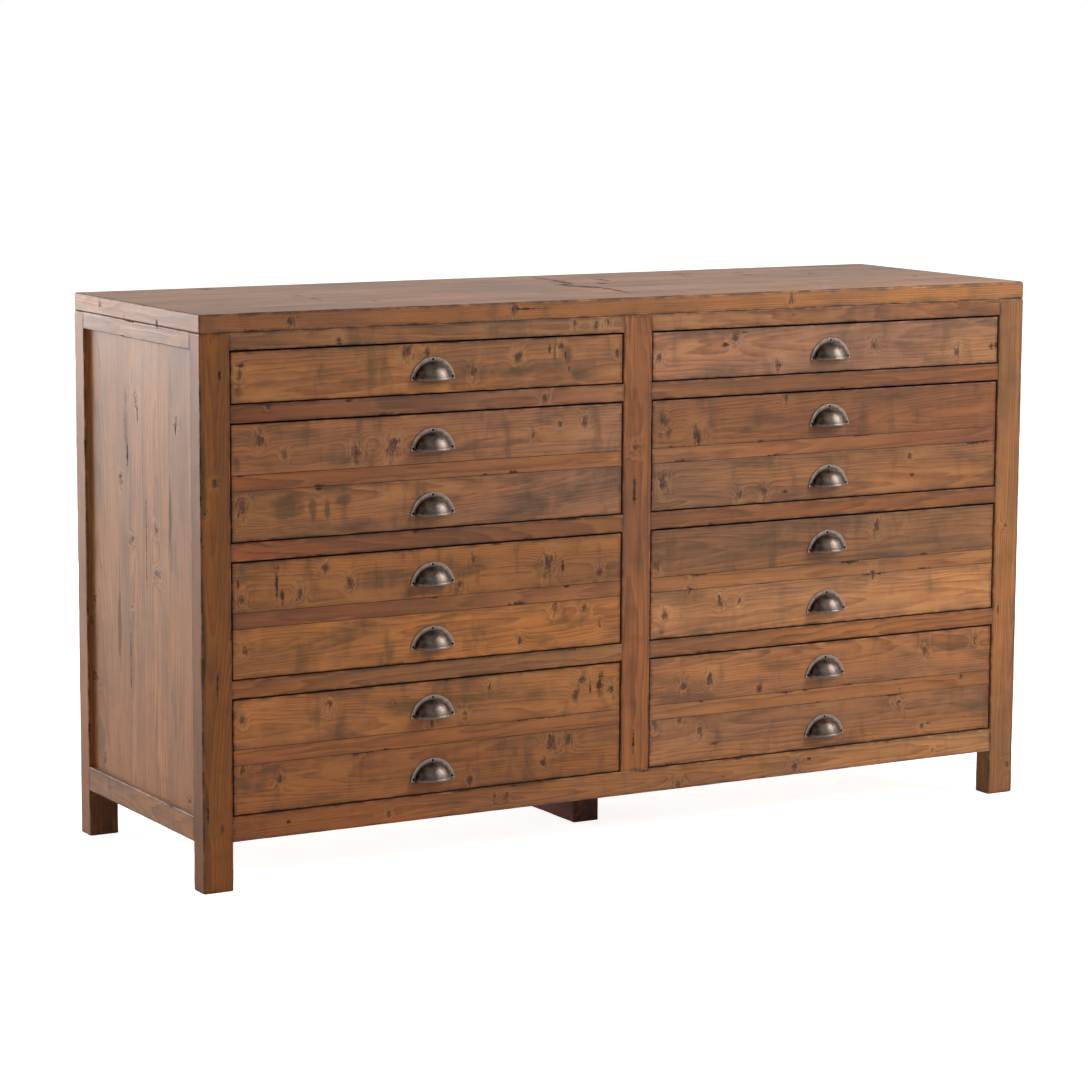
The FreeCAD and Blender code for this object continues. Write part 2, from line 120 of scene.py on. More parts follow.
# %% [markdown]
# ## Studio
# A white paper sweep and large soft lamps. The wax gives a pale sheen where a surface is seen at
# a low angle, so the left end and the top need something bright and broad behind them to reflect.
# The paper's own glow shows only to the camera and in reflections: it whitens the background,
# keeps the shadow, and puts no light on the wood.

# %% Floor
floor_half = 14.0
floor_mesh = bpy.data.meshes.new("floor")
floor_mesh.from_pydata([(-floor_half, -floor_half, 0), (floor_half, -floor_half, 0),
                        (floor_half, floor_half, 0), (-floor_half, floor_half, 0)], [], [(0, 1, 2, 3)])
floor = bpy.data.objects.new("floor", floor_mesh)
bpy.context.scene.collection.objects.link(floor)
paper = bpy.data.materials.new("white_paper_sweep")
tree = new_tree(paper)
glow_to_camera, glow_in_reflections = 0.87, 0.15
glow = add(tree, "Math", add(tree, "LightPath", give=3), glow_in_reflections, operation="MULTIPLY")
glow = add(tree, "Math", add(tree, "LightPath"), glow_to_camera, glow, operation="MULTIPLY_ADD")
glow = add(tree, "Emission", linear("#ffffff"), glow)
dull = add(tree, "BsdfDiffuse", linear("#ededed"))
add(tree, "OutputMaterial", add(tree, "AddShader", glow, dull))
floor_mesh.materials.append(paper)
print("the sweep is", 2 * floor_half, "m wide")

# %% [markdown]
# ### Room
# The world stands for the room. It lights the wood evenly at a plain level, and polished surfaces
# see it darker in front and brighter behind, as in a studio with a white wall at the back.

# %% Room
world = bpy.data.worlds.new("studio")
bpy.context.scene.world = world
tree = new_tree(world)
room_light = 0.42
room_front, room_back = 0.30, 0.85       # what polished surfaces see of the room
depth = add(tree, "SeparateXYZ", add(tree, "TexCoord"), give=1)
reflected = add(tree, "MapRange", depth, -0.4, 0.7, room_front, room_back)
lit = add(tree, "Mix", {0: add(tree, "LightPath", give=3), 2: room_light, 3: reflected})
level = add(tree, "Mix", {0: add(tree, "LightPath"), 2: lit, 3: 1.0})
add(tree, "OutputWorld", add(tree, "Background", linear("#ffffff"), level))
print("the room lights with a strength of", room_light)

# %% [markdown]
# ### Lamps
# Three soft boxes: the key stands in front on the right, a window behind on the left rakes over
# the left end and the top, and a weak one hangs above. Large lamps give soft edges to shadows.


# %% Lamps
def soft_box(name, place, target, width, height, watts):
    """A rectangular lamp that looks at its target."""
    lamp = bpy.data.lights.new(name, "AREA")
    lamp.shape = "RECTANGLE"
    lamp.size, lamp.size_y = width, height
    lamp.energy = watts
    stand = bpy.data.objects.new(name, lamp)
    aim = (Vector(target) - Vector(place)).to_track_quat("-Z", "Y")
    stand.matrix_world = Matrix.Translation(place) @ aim.to_matrix().to_4x4()
    stand.visible_camera = False
    bpy.context.scene.collection.objects.link(stand)


soft_box("key_right", (3.3, -2.8, 2.7), (0.4, 0, 0.5), 1.2, 2.2, 140)
soft_box("window_left", (-2.6, 3.8, 1.4), (-0.8, 0, 0.8), 2.4, 1.8, 135)
soft_box("sky_top", (0.2, 1.0, 3.2), (0, 0, 0.9), 3.0, 2.0, 14)

# %% [markdown]
# ## A worn board
# A new board is a box, but an old one isn't: its arrises are worn to a small round, deeper where
# something knocked a chip out. The board is built like a loaf: one outline repeated at stations
# along the grain, while the radius of each corner changes from station to station. A modifier
# could bevel a box, but only evenly, and this mesh also carries what the wood needs to know.

# %% Sizes of the wear
station_step = 12 * MM
face_step = 24 * MM
arris_zone = 7 * MM          # how far from an arris dirt, painted gap shade and wear reach
support = 1.2 * MM           # flat strip beside the round, which keeps the shading crisp
arc_steps = 3
worn_radius = 1.3 * MM
hairline = 0.2 * MM          # arris of a glued joint
widest_round = 0.38          # most of a thin side that one arris may take
widest_strip = 0.46          # the same, with the flat strip beside it
zone_share = 0.3             # on a short side the zone is this much of it
dirt_and_gap_shade_beside = 0.55           # dirt and painted gap shade on the strip, where the arris itself has 1
print("wear reaches", arris_zone / MM, "mm from an arris")

# %% [markdown]
# ### Stations and arrises
# Points stand close together beside an arris, where the surface turns, and far apart on the
# flats. Along the board an arris is a slow wave with a few chips, each a smooth dip.


# %% Places along a side, and the radius of a worn arris
def places(length, zone, step):
    """Evenly spread places from one arris zone to the other."""
    inner = length - 2 * zone
    count = max(1, round(inner / step))
    return [zone + inner * i / count for i in range(count + 1)]


def arris(stations, radius, limit, chips, seed):
    """Radius of one arris along the board: uneven, with chips knocked out of it."""
    source = random.Random(seed)
    worn = np.full_like(stations, radius)
    for _ in range(4):
        pitch = source.uniform(24, 110) * MM
        worn += 0.16 * radius * np.sin(stations * 2 * math.pi / pitch + source.uniform(0, 6.28))
    for _ in range(int(source.uniform(0.4, 1.6) * chips * stations[-1])):
        place, reach = source.uniform(0, stations[-1]), source.uniform(4, 16) * MM
        worn += source.uniform(0.3, 1.8) * MM * np.exp(-((stations - place) / reach) ** 2)
    return np.clip(worn, 0.5 * radius, limit)


print("places on a 100 mm side:", [round(place / MM) for place in places(100 * MM, arris_zone, face_step)])

# %% [markdown]
# ### Where the grain runs
# A board's figure depends on where it lay in the log. The `grain` data gives each point its place
# along the log and its two distances from the pith. The board lies a degree or two askew in the
# log, and that is what draws long flames on a flat-sawn face and arcs on a sawn end.


# %% Place in the log
askew_sideways, askew_upwards = 0.02, 0.03


def log_place(points, axes, middle, width, seed):
    """Place of each point in the log: along it, sideways from the pith, and above the pith."""
    source = random.Random(seed)
    along, across, thin = axes
    local = np.asarray(points) - middle
    askew_side = source.uniform(-askew_sideways, askew_sideways)
    askew_up = source.uniform(-askew_upwards, askew_upwards)
    side = source.uniform(-0.4, 0.4) * width
    above_pith = source.uniform(35, 95) * MM
    return np.stack([local[:, along] + source.uniform(0, 40),
                     local[:, across] + side + askew_side * local[:, along],
                     local[:, thin] + above_pith + askew_up * local[:, along]], axis=1)


print("a board lies askew in its log by up to", round(math.degrees(askew_upwards), 1), "degrees")

# %% [markdown]
# ### The outline of a board
# The outline goes round the board from its (high, high) corner. At each corner it has a flat
# strip, an arc and another strip, and on each side a few places more. Every point of it is a
# line along the board, because radii change from station to station.

# %% Lines round a worn section
corner_signs = [(1, 1), (-1, 1), (-1, -1), (1, -1)]


def section_lines(width, depth, worn, grime_and_gap_shade):
    """Lines of points along the board, in order round its section, as (across, thin, dirt and painted gap
    shade).
    """
    ones = np.ones_like(worn[0])
    flat_w = [np.minimum(radius + support, widest_strip * width) for radius in worn]
    flat_d = [np.minimum(radius + support, widest_strip * depth) for radius in worn]
    lines = []
    for k, (sw, sd) in enumerate(corner_signs):
        beside = [(sw * width / 2 * ones, sd * (depth / 2 - flat_d[k]), dirt_and_gap_shade_beside * grime_and_gap_shade[k]),
                  (sw * (width / 2 - flat_w[k]), sd * depth / 2 * ones, dirt_and_gap_shade_beside * grime_and_gap_shade[k])]
        lines.append(beside[k % 2])
        for step in range(arc_steps + 1):
            angle = math.pi / 2 * (k + step / arc_steps)
            lines.append((sw * (width / 2 - worn[k]) + worn[k] * math.cos(angle),
                          sd * (depth / 2 - worn[k]) + worn[k] * math.sin(angle), grime_and_gap_shade[k]))
        lines.append(beside[1 - k % 2])
        after = (k + 1) % 4
        size, flats, sign = (width, flat_w, sw) if k % 2 == 0 else (depth, flat_d, sd)
        for place in places(size, min(arris_zone, zone_share * size), face_step):
            kept = np.clip(place * ones, flats[k] + 0.01 * MM, size - flats[after] - 0.01 * MM)
            run = sign * (size / 2 - kept)
            line = (run, sd * depth / 2 * ones) if k % 2 == 0 else (sw * width / 2 * ones, run)
            lines.append((*line, 0.0))
    return lines


print("an arc has", arc_steps, "steps")

# %% [markdown]
# ### Marks that nobody placed
# Besides the marks that are placed one by one further on, each board gets a few knots of its
# own, and dark wax in the chips of its worn arrises. A seed keeps them the same in every run.


# %% A board's own marks
def own_marks(seed, low, high, axes, radii, chips, random_knots):
    """Random knots on the broad faces, and scars on both faces of worn arrises."""
    source = random.Random(seed)
    along, across, thin = axes
    length, width = high[along] - low[along], high[across] - low[across]
    broad, narrow = [], []
    for _ in range(round(length * min(width, 0.1) / 0.03 * random_knots * source.uniform(0.4, 1.3))):
        size = source.uniform(3, 9) * MM
        place = low[along] + source.uniform(0.03, 0.97) * length
        aside = low[across] + source.uniform(0.08, 0.92) * width
        broad.append(("knot", place, aside, size, size * source.uniform(1.0, 1.7)))
    for _ in range(round(chips * length * source.uniform(1.0, 2.2))):
        k = source.randrange(4)
        if radii[k] > hairline:
            place = low[along] + source.uniform(0.01, 0.99) * length
            chip = (source.uniform(3, 20) * MM, source.uniform(1.2, 3.0) * MM)
            broad.append(("scar", place, (high if corner_signs[k][0] > 0 else low)[across], *chip))
            narrow.append(("scar", place, (high if corner_signs[k][1] > 0 else low)[thin], *chip))
    return broad, narrow


print("marks on a trial board:", len(own_marks(1, (0, 0, 0), (1, 0.1, 0.02), (0, 1, 2), [1] * 4, 3.5, 1)[0]))

# %% [markdown]
# ### One board
# The lines of the outline become rings of points at the stations, drawn in at the ends by
# `shrink`, and neighbours are joined with faces. Glued joints have hairline arrises and gather
# no dirt. `age` and `tone` go with the board, for its colour.


# %% One board
def board(low, high, along, across, seed, radii=worn_radius, end_radius=None, shrink=(1, 1, 1, 1),
          chips=3.5, tone=(1, 1, 1), age=1.0, marks=(), side_marks=(), end_marks=(), random_knots=1.0):
    """Points, faces and wood data of one worn board between two corners, grain along an axis.
    Radii go round the section from its (high, high) corner. Shrink says which of the four sides
    (across low and high, thin low and high) are rounded towards the ends."""
    low, high = np.array(low, float), np.array(high, float)
    thin = 3 - along - across
    length, width, depth = high[along] - low[along], high[across] - low[across], high[thin] - low[thin]
    radii = list(radii) if isinstance(radii, (list, tuple)) else [radii] * 4
    end_radius = max(radii) if end_radius is None else end_radius
    tips = [0, 0.3 * end_radius, end_radius, end_radius + support]
    zone = max(min(arris_zone, zone_share * length), end_radius + 2 * support)
    far_tips = [length - tip for tip in reversed(tips)]
    stations = np.array(tips + places(length, zone, station_step) + far_tips)
    from_end = np.minimum(stations, length - stations)
    short = np.maximum(end_radius - from_end, 0)
    inset = end_radius - np.sqrt(np.maximum(end_radius ** 2 - short ** 2, 0))
    worn = []
    for k, radius in enumerate(radii):
        knocks = chips if radius > hairline else 0
        worn.append(arris(stations, radius, widest_round * min(width, depth), knocks, seed * 7 + k))
    grime_and_gap_shade = [min(1, radius / worn_radius) for radius in radii]      # a crisp arris gathers less dirt and less painted gap shade
    lines = section_lines(width, depth, worn, grime_and_gap_shade)
    ring_w, ring_d = (np.array([line[i] for line in lines]).T for i in (0, 1))
    for values, size, at_low, at_high in ((ring_w, width, *shrink[:2]), (ring_d, depth, *shrink[2:])):
        bottom = -size / 2 + inset * at_low
        top = size / 2 - inset * at_high
        values[:] = bottom[:, None] + (values + size / 2) * ((top - bottom) / size)[:, None]
    count, around = ring_w.shape
    points = np.zeros((count, around, 3))
    points[:, :, along] = (low[along] + stations)[:, None]
    points[:, :, across] = (low[across] + high[across]) / 2 + ring_w
    points[:, :, thin] = (low[thin] + high[thin]) / 2 + ring_d
    end_wear = np.clip(1 - from_end / arris_zone, 0, 1) if end_radius > hairline else 0 * stations
    edge = np.maximum(np.array([line[2] for line in lines])[None, :], end_wear[:, None])
    sharp = np.array([radius > hairline for radius in radii])
    if not sharp.all():      # glued joints gather no dirt
        near = np.array([[sw * width / 2, sd * depth / 2] for sw, sd in corner_signs])
        outline = np.stack([ring_w[2], ring_d[2]], axis=1)
        nearest = ((outline[:, None] - near) ** 2).sum(axis=2).argmin(axis=1)
        edge = np.where(sharp[nearest][None, :], edge, end_wear[:, None])
    first = np.arange(count - 1)[:, None] * around
    here = np.arange(around)[None, :]
    after = (here + 1) % around
    sides = np.stack([first + here, first + after, first + around + after, first + around + here], axis=2)
    sides = sides.reshape(-1, 4)
    points = points.reshape(-1, 3)
    faces = sides.tolist() + [list(range(around))[::-1], list(range((count - 1) * around, count * around))]
    corners = points[sides] - points.mean(axis=0)
    if np.einsum("ij,ij->i", corners[:, 0], np.cross(corners[:, 1], corners[:, 2])).sum() < 0:
        faces = [face[::-1] for face in faces]
    axes = (along, across, thin)
    broad, narrow = own_marks(seed, low, high, axes, radii, chips, random_knots)
    return {"points": points, "faces": faces, "edge": edge.ravel(), "tone": tone, "age": age,
            "log": log_place(points, axes, (low + high) / 2, width, seed),
            "marks": list(marks) + broad, "side_marks": list(side_marks) + narrow, "end_marks": end_marks,
            "axes": (along, across)}


print("a metre of board has", len(board((0, 0, 0), (1, 0.1, 0.02), 0, 1, 1)["faces"]), "faces")

# %% [markdown]
# ### The way to each mark
# Every face looks up the nearest mark of each kind and stores the way to it, in units of the
# mark's own size. Such a way changes evenly over a face, so a coarse mesh still draws a sharp
# knot, and no picture is needed.

# %% Marks on the faces
far_away = 90.0


def way_to_marks(piece, kind):
    """For each face corner: the way to the face's nearest mark of that kind, and its size."""
    along, across = piece["axes"]
    thin = 3 - along - across
    sizes = np.array([len(face) for face in piece["faces"]])
    points = piece["points"][np.concatenate([np.array(face) for face in piece["faces"]])]
    starts = np.concatenate([[0], np.cumsum(sizes)[:-1]])
    centres = np.add.reduceat(points, starts) / sizes[:, None]
    normals = np.cross(points[starts + 1] - points[starts], points[starts + 2] - points[starts + 1])
    facing = np.abs(normals).argmax(axis=1)
    ways = np.tile((far_away, far_away, 0.0), (len(points), 1))
    planes = {"marks": (thin, [along, across]), "side_marks": (across, [along, thin]),
              "end_marks": (along, [across, thin])}
    for key, (axis, plane) in planes.items():
        marks = np.array([[m[1], m[2], m[3], m[4]] for m in piece.get(key, ()) if m[0] == kind])
        if len(marks):
            gaps = (centres[:, None, plane] - marks[None, :, :2]) / marks[None, :, 2:]
            nearest = np.repeat(marks[(gaps ** 2).sum(axis=2).argmin(axis=1)], sizes, axis=0)
            found = np.column_stack([(points[:, plane] - nearest[:, :2]) / nearest[:, 2:], nearest[:, 2]])
            here = np.repeat(facing == axis, sizes)
            ways[here] = found[here]
    return ways


print("a face with no mark is", far_away, "sizes away from one")

# %% [markdown]
# ### Tones and lipping
# Old wood fades unevenly, so a board can have two tones that run into each other. The sawn ends
# of the top wear a thin strip of newer wood: a lipping.

# %% Tone of a board, and the lipping of its ends
lipping_tone = (1.05, 0.95, 0.85)
lipping_age = 0.15
lipping_edge = 0.15          # the strip is too young for much dirt


def tones_of(piece):
    """The board's own tone at each point: one, or two that fade into each other along it."""
    ends = np.atleast_2d(piece["tone"])
    if len(ends) > 2:        # a lipped board has one for each point already
        return ends
    place = piece["points"][:, piece["axes"][0]]
    share = ((place - place.min()) / np.ptp(place))[:, None]
    return ends[0] * (1 - share) + ends[-1] * share


def lipping(piece, middle, seed):
    """Turn the grain of a board's sawn ends, as if a thin strip of newer wood covered them."""
    along, across = piece["axes"]
    thin = 3 - along - across
    piece["end_log"] = log_place(piece["points"], (across, thin, along), middle, 30 * MM, seed)
    caps = sorted({corner for face in piece["faces"] if len(face) > 4 for corner in face})
    piece["tone"] = tones_of(piece)
    piece["tone"][caps] = lipping_tone
    piece["age"] = np.full(len(piece["points"]), piece["age"])
    piece["age"][caps] = lipping_age
    piece["edge"][caps] = lipping_edge
    return piece


print("a lipping has an age of", lipping_age)

# %% [markdown]
# ### Joining boards
# Boards could stay separate objects, but a glued-up top is one piece, so its boards go into one
# mesh. What belongs to a whole board is stored on points, and what differs from face to face,
# such as the way to a mark, on the corners of faces. Long sides are shaded smooth, ends flat.


# %% Joining boards
def join(name, pieces, material):
    """One object made of boards, with their wood data as mesh attributes."""
    points = np.concatenate([piece["points"] for piece in pieces])
    faces, start = [], 0
    for piece in pieces:
        faces += [[index + start for index in face] for face in piece["faces"]]
        start += len(piece["points"])
    mesh = bpy.data.meshes.new(name)
    mesh.from_pydata(points.tolist(), [], faces)
    logs = []
    for piece in pieces:
        for face in piece["faces"]:
            is_end = len(face) > 4 and "end_log" in piece
            logs.append(piece["end_log" if is_end else "log"][face])
    data = {"grain": ("FLOAT_VECTOR", "CORNER", logs),
            "tone": ("FLOAT_VECTOR", "POINT", [tones_of(piece) for piece in pieces]),
            "age": ("FLOAT", "POINT", [np.full(len(piece["points"]), piece["age"]) for piece in pieces]),
            "edge": ("FLOAT", "POINT", [piece["edge"] for piece in pieces])}
    for kind in ("knot", "scar", "stain"):
        data[kind] = ("FLOAT_VECTOR", "CORNER", [way_to_marks(piece, kind) for piece in pieces])
    for key, (kind, domain, rows) in data.items():
        layer = mesh.attributes.new(key, kind, domain)
        values = np.concatenate(rows).astype(np.float32).ravel()
        layer.data.foreach_set("value" if kind == "FLOAT" else "vector", values)
    mesh.materials.append(material)
    mesh.shade_smooth()
    mesh.set_sharp_from_angle(angle=math.radians(50))
    for face in mesh.polygons:
        face.use_smooth = len(face.vertices) == 4        # sawn ends are flat
    thing = bpy.data.objects.new(name, mesh)
    bpy.context.scene.collection.objects.link(thing)
    return thing


print("attributes of a joined mesh: grain, tone, age, edge, knot, scar and stain")

# %% [markdown]
# ## Waxed reclaimed pine
# Pine is a softwood: pale early wood with a thin darker line of late wood for every year, 2 to
# 5 mm apart. Old boards are stained by use, and stain and brown wax settle in the late wood, in
# knots and in dents. The rings are drawn as real rings round the pith, bent by slow noise and
# pushed aside by each knot, so that all faces of a board agree with each other.

# %% Pine: rings
ring_width = 3.3 * MM
waxed_pine = bpy.data.materials.new("waxed_reclaimed_pine")
tree = new_tree(waxed_pine)
log = add(tree, "Attribute", give=1, attribute_name="grain")
ways = {}
for kind in ("knot", "scar", "stain"):
    way = add(tree, "Attribute", give=1, attribute_name=kind)
    flat = add(tree, "VectorMath", way, (1, 1, 0), operation="MULTIPLY")
    ways[kind] = add(tree, "VectorMath", flat, give=1, operation="LENGTH")
    if kind == "knot":
        knot_size = add(tree, "SeparateXYZ", way, give=2)


def ring_years(tree, log, knot_push=0.0):
    """How many years out from the pith a place in the log is, with bends and knots."""
    stretched = add(tree, "VectorMath", log, (1.4, 10, 10), operation="MULTIPLY")
    noise = add(tree, "TexNoise", {"Vector": stretched, "Scale": 1.0, "Detail": 4.0, "Roughness": 0.55},
                give=1)
    bend = add(tree, "VectorMath", noise, (0.5, 0.5, 0.5), operation="SUBTRACT")
    bend = add(tree, "VectorMath", bend, (0, 50 * MM, 28 * MM), operation="MULTIPLY")
    section = add(tree, "VectorMath", add(tree, "VectorMath", log, bend, operation="ADD"), (0, 1, 1),
                  operation="MULTIPLY")
    from_pith = add(tree, "VectorMath", section, give=1, operation="LENGTH")
    pushed = add(tree, "Math", from_pith, knot_push, operation="ADD")
    return add(tree, "Math", pushed, ring_width, operation="DIVIDE")


knot_reach = 0.30            # rings straighten again about three knot sizes away
knot_bulge = 1.4             # how far a knot pushes the rings, in knot sizes
fall_off = add(tree, "Math", add(tree, "Math", ways["knot"], 2.0, operation="POWER"), -knot_reach,
               operation="MULTIPLY")
near_knot = add(tree, "Math", fall_off, operation="EXPONENT")
knot_push = add(tree, "Math", near_knot, add(tree, "Math", knot_size, knot_bulge, operation="MULTIPLY"),
                operation="MULTIPLY")
year = add(tree, "Math", ring_years(tree, log, knot_push), operation="FRACT")
rise = add(tree, "MapRange", year, 0.42, 0.88, 0.0, 1.0, interpolation_type="SMOOTHSTEP")
fall = add(tree, "MapRange", year, 0.90, 1.0, 1.0, 0.0, interpolation_type="SMOOTHSTEP")
late_wood = add(tree, "Math", rise, fall, operation="MULTIPLY")
print("rings every", ring_width / MM, "mm")

# %% [markdown]
# ### Fibre, patches and clouds
# Real fibres are thinner than a hair. These are drawn about two millimetres wide, which is what
# shows at a few metres. Wider patches stand for boards that weathered unevenly, and clouds for
# the grey-brown smears that sanding left.

# %% Pine: noises over the rings
fibre_width = 2.4 * MM
streak_width = 7 * MM
spreads = {"fibre": (4, 1 / fibre_width, 1 / fibre_width),       # waves in a metre, along and across
           "streak": (1.1, 1 / streak_width, 1 / streak_width),
           "patch": (2.2, 10, 10), "cloud": (7, 24, 24), "smear": (26, 9, 9), "crumb": (150, 55, 55),
           "wear": (34, 70, 70)}
noises = {}
for name, spread in spreads.items():
    stretched = add(tree, "VectorMath", log, spread, operation="MULTIPLY")
    noises[name] = add(tree, "TexNoise", {"Vector": stretched, "Scale": 1.0, "Detail": 3.0, "Roughness": 0.6})
print("noises:", ", ".join(noises))

# %% [markdown]
# ### Sound wood
# Honey-brown early wood, darker late wood and a pale line where spring growth starts, then
# tints from each noise. A board with much past (age 1 or more) has strong clouds and smears, and
# a newer rail (age near 0) has few. A tint names its noise, the levels at which it is absent and
# full, and its strength.

# %% Pine: colour of the sound wood
age = add(tree, "Attribute", give=2, attribute_name="age")
patch = add(tree, "MapRange", noises["patch"], 0.40, 0.60, 0.0, 1.0)
early = add(tree, "Mix", {0: patch, 6: linear("#a86c3a"), 7: linear("#8b5c3a")}, give=2, data_type="RGBA")
late = add(tree, "Mix", {0: patch, 6: linear("#7a4827"), 7: linear("#634127")}, give=2, data_type="RGBA")
ring_show = add(tree, "MapRange", noises["patch"], 0.35, 0.65, 0.90, 0.50)
broken_line = add(tree, "MapRange", noises["wear"], 0.35, 0.60, 1.0, 0.55)
ring_show = add(tree, "Math", ring_show, broken_line, operation="MULTIPLY")
amount = add(tree, "Math", late_wood, ring_show, operation="MULTIPLY")
wood = add(tree, "Mix", {0: amount, 6: early, 7: late}, give=2, data_type="RGBA")
spring = add(tree, "MapRange", year, 0.04, 0.34, 0.40, 0.0)
amount = add(tree, "Math", spring, ring_show, operation="MULTIPLY")
wood = add(tree, "Mix", {0: amount, 6: wood, 7: linear("#bd8a54")}, give=2, data_type="RGBA")
tints = [("fibre", 0.50, 0.30, 0.26, "#5b3821"), ("fibre", 0.53, 0.72, 0.20, "#bf8850"),
         ("streak", 0.50, 0.32, 0.24, "#683f24"), ("streak", 0.55, 0.72, 0.22, "#b87d46"),
         ("cloud", 0.52, 0.70, 0.58, "#563e25"), ("cloud", 0.46, 0.30, 0.36, "#b97f48"),
         ("smear", 0.56, 0.72, 0.46, "#543d27"), ("smear", 0.44, 0.30, 0.22, "#b07549")]
for name, none, full, most, colour in tints:
    amount = add(tree, "MapRange", noises[name], none, full, 0.0, most)
    if name in ("cloud", "smear"):
        amount = add(tree, "Math", amount, age, operation="MULTIPLY")
    wood = add(tree, "Mix", {0: amount, 6: wood, 7: linear(colour)}, give=2, data_type="RGBA")
print("tints of the sound wood:", len(tints))

# %% [markdown]
# ### Knots, scars and stains
# A knot is a branch cut across: a red-brown heart, dark rims, crumbs of bark and often a drying
# check. Nail holes and torn grain filled with dark wax are the scars, and water and iron left
# the grey-brown stains; the stain mark at the foot of each rear post is painted shade instead.
# Noise is added to the way to each mark, which frays its outline.

# %% Pine: marks
crumb = add(tree, "Math", noises["crumb"], 0.5, operation="SUBTRACT")
cloud = add(tree, "Math", noises["cloud"], 0.5, operation="SUBTRACT")
wear = add(tree, "Math", noises["wear"], 0.5, operation="SUBTRACT")
knot_out = add(tree, "Math", crumb, 2.0, ways["knot"], operation="MULTIPLY_ADD")
knot_out = add(tree, "Math", wear, 3.6, knot_out, operation="MULTIPLY_ADD")
glow_out = add(tree, "Math", cloud, 6.0, ways["knot"], operation="MULTIPLY_ADD")
halo = add(tree, "MapRange", glow_out, 0.6, 3.2, 0.45, 0.0, interpolation_type="SMOOTHSTEP")
heart = add(tree, "MapRange", knot_out, 0.6, 1.3, 0.62, 0.0)
near = add(tree, "MapRange", knot_out, 0.7, 3.0, 1.0, 0.0)
broken = add(tree, "MapRange", noises["crumb"], 0.52, 0.60, 0.0, 0.72)
bark = add(tree, "Math", near, broken, operation="MULTIPLY")
check = add(tree, "Math", crumb, 2.6, knot_out, operation="MULTIPLY_ADD")
check = add(tree, "MapRange", check, 0.15, 0.5, 0.75, 0.0)
turn = add(tree, "Math", knot_out, operation="FRACT")
rim_gap = add(tree, "Math", add(tree, "Math", turn, 0.7, operation="SUBTRACT"), operation="ABSOLUTE")
rim_full = add(tree, "MapRange", noises["wear"], 0.44, 0.58, 0.0, 0.85)
rim_full = add(tree, "Math", rim_full, near, operation="MULTIPLY")
rim = add(tree, "Math", add(tree, "MapRange", rim_gap, 0.04, 0.26, 1.0, 0.0), rim_full, operation="MULTIPLY")
torn = add(tree, "Math", crumb, 3.2, ways["scar"], operation="MULTIPLY_ADD")
torn = add(tree, "Math", wear, 3.0, torn, operation="MULTIPLY_ADD")
scar = add(tree, "MapRange", torn, 0.4, 1.5, 0.85, 0.0)
blotch = add(tree, "Math", cloud, 5.5, ways["stain"], operation="MULTIPLY_ADD")
blotch = add(tree, "Math", wear, 1.6, blotch, operation="MULTIPLY_ADD")
# The stain draws real stains, and also the painted shade under the cabinet at the feet of the rear posts.
stain = add(tree, "MapRange", blotch, 0.0, 1.3, 0.66, 0.0, interpolation_type="SMOOTHSTEP")
for amount, colour in ((halo, "#b58250"), (heart, "#6f3f29"), (bark, "#452a15"), (rim, "#3f2612"),
                       (check, "#2c190d"), (stain, "#4a3822"), (scar, "#27160b")):
    wood = add(tree, "Mix", {0: amount, 6: wood, 7: linear(colour)}, give=2, data_type="RGBA")
print("pine has", len(tree.nodes), "nodes with its marks")

# %% [markdown]
# ### Dirt, painted gap shade, rubbing and tone
# Dust and wax gather beside an arris, and hands rub the arris itself back to paler wood. A
# darker floor of that dirt along every worn arris is painted shade, which widens the dark gaps
# between drawers and rails. Last, each board is multiplied by a tone of its own, since no two
# came from the same floor.

# %% Pine: dirt and painted gap shade beside the arrises, rubbed arrises, and each board's own tone
edge = add(tree, "Attribute", give=2, attribute_name="edge")
# The lowest level, 0.12, keeps every worn arris a little dark: painted shade that widens the gaps beside it.
dirt_and_gap_shade_level = add(tree, "MapRange", noises["wear"], 0.40, 0.60, 0.12, 0.78)
dirt_and_gap_shade = add(tree, "Math", edge, dirt_and_gap_shade_level, operation="MULTIPLY")
arris_line = add(tree, "Math", edge, 4.0, operation="POWER")
handled = add(tree, "MapRange", noises["wear"], 0.46, 0.32, 0.0, 0.4)
rub = add(tree, "Math", arris_line, handled, operation="MULTIPLY")
for amount, colour in ((dirt_and_gap_shade, "#3d2517"), (rub, "#b08358")):
    wood = add(tree, "Mix", {0: amount, 6: wood, 7: linear(colour)}, give=2, data_type="RGBA")
tone = add(tree, "Attribute", give=1, attribute_name="tone")
wood = add(tree, "VectorMath", wood, tone, operation="MULTIPLY")
print("pine has", len(tree.nodes), "nodes with its dirt")

# %% [markdown]
# ### Relief and wax
# Sanding wears early wood more than late wood, so the rings stand up a little. Scars and knot
# rims sit low. The wax is a thin satin film: roughness near 0.45, uneven with the fibre, and
# duller in scars, bark and stains, which soak it up.

# %% Pine: relief and gloss
relief = add(tree, "Math", late_wood, 0.25, add(tree, "Math", noises["fibre"], 0.9, operation="MULTIPLY"),
             operation="MULTIPLY_ADD")
for amount, depth in ((scar, -2.0), (rim, -0.8), (check, -1.0), (noises["cloud"], 1.0),
                      (noises["streak"], 1.0)):
    relief = add(tree, "Math", amount, depth, relief, operation="MULTIPLY_ADD")
normal = add(tree, "Bump", {"Height": relief, "Distance": 0.3 * MM, "Strength": 0.8})
gloss = add(tree, "Math", noises["fibre"], 0.20, 0.22, operation="MULTIPLY_ADD")
for amount, change in ((noises["streak"], 0.15), (noises["patch"], 0.06), (noises["cloud"], 0.08)):
    gloss = add(tree, "Math", amount, change, gloss, operation="MULTIPLY_ADD")
dull = add(tree, "Math", add(tree, "Math", stain, 0.6, operation="MULTIPLY"), scar, operation="MAXIMUM")
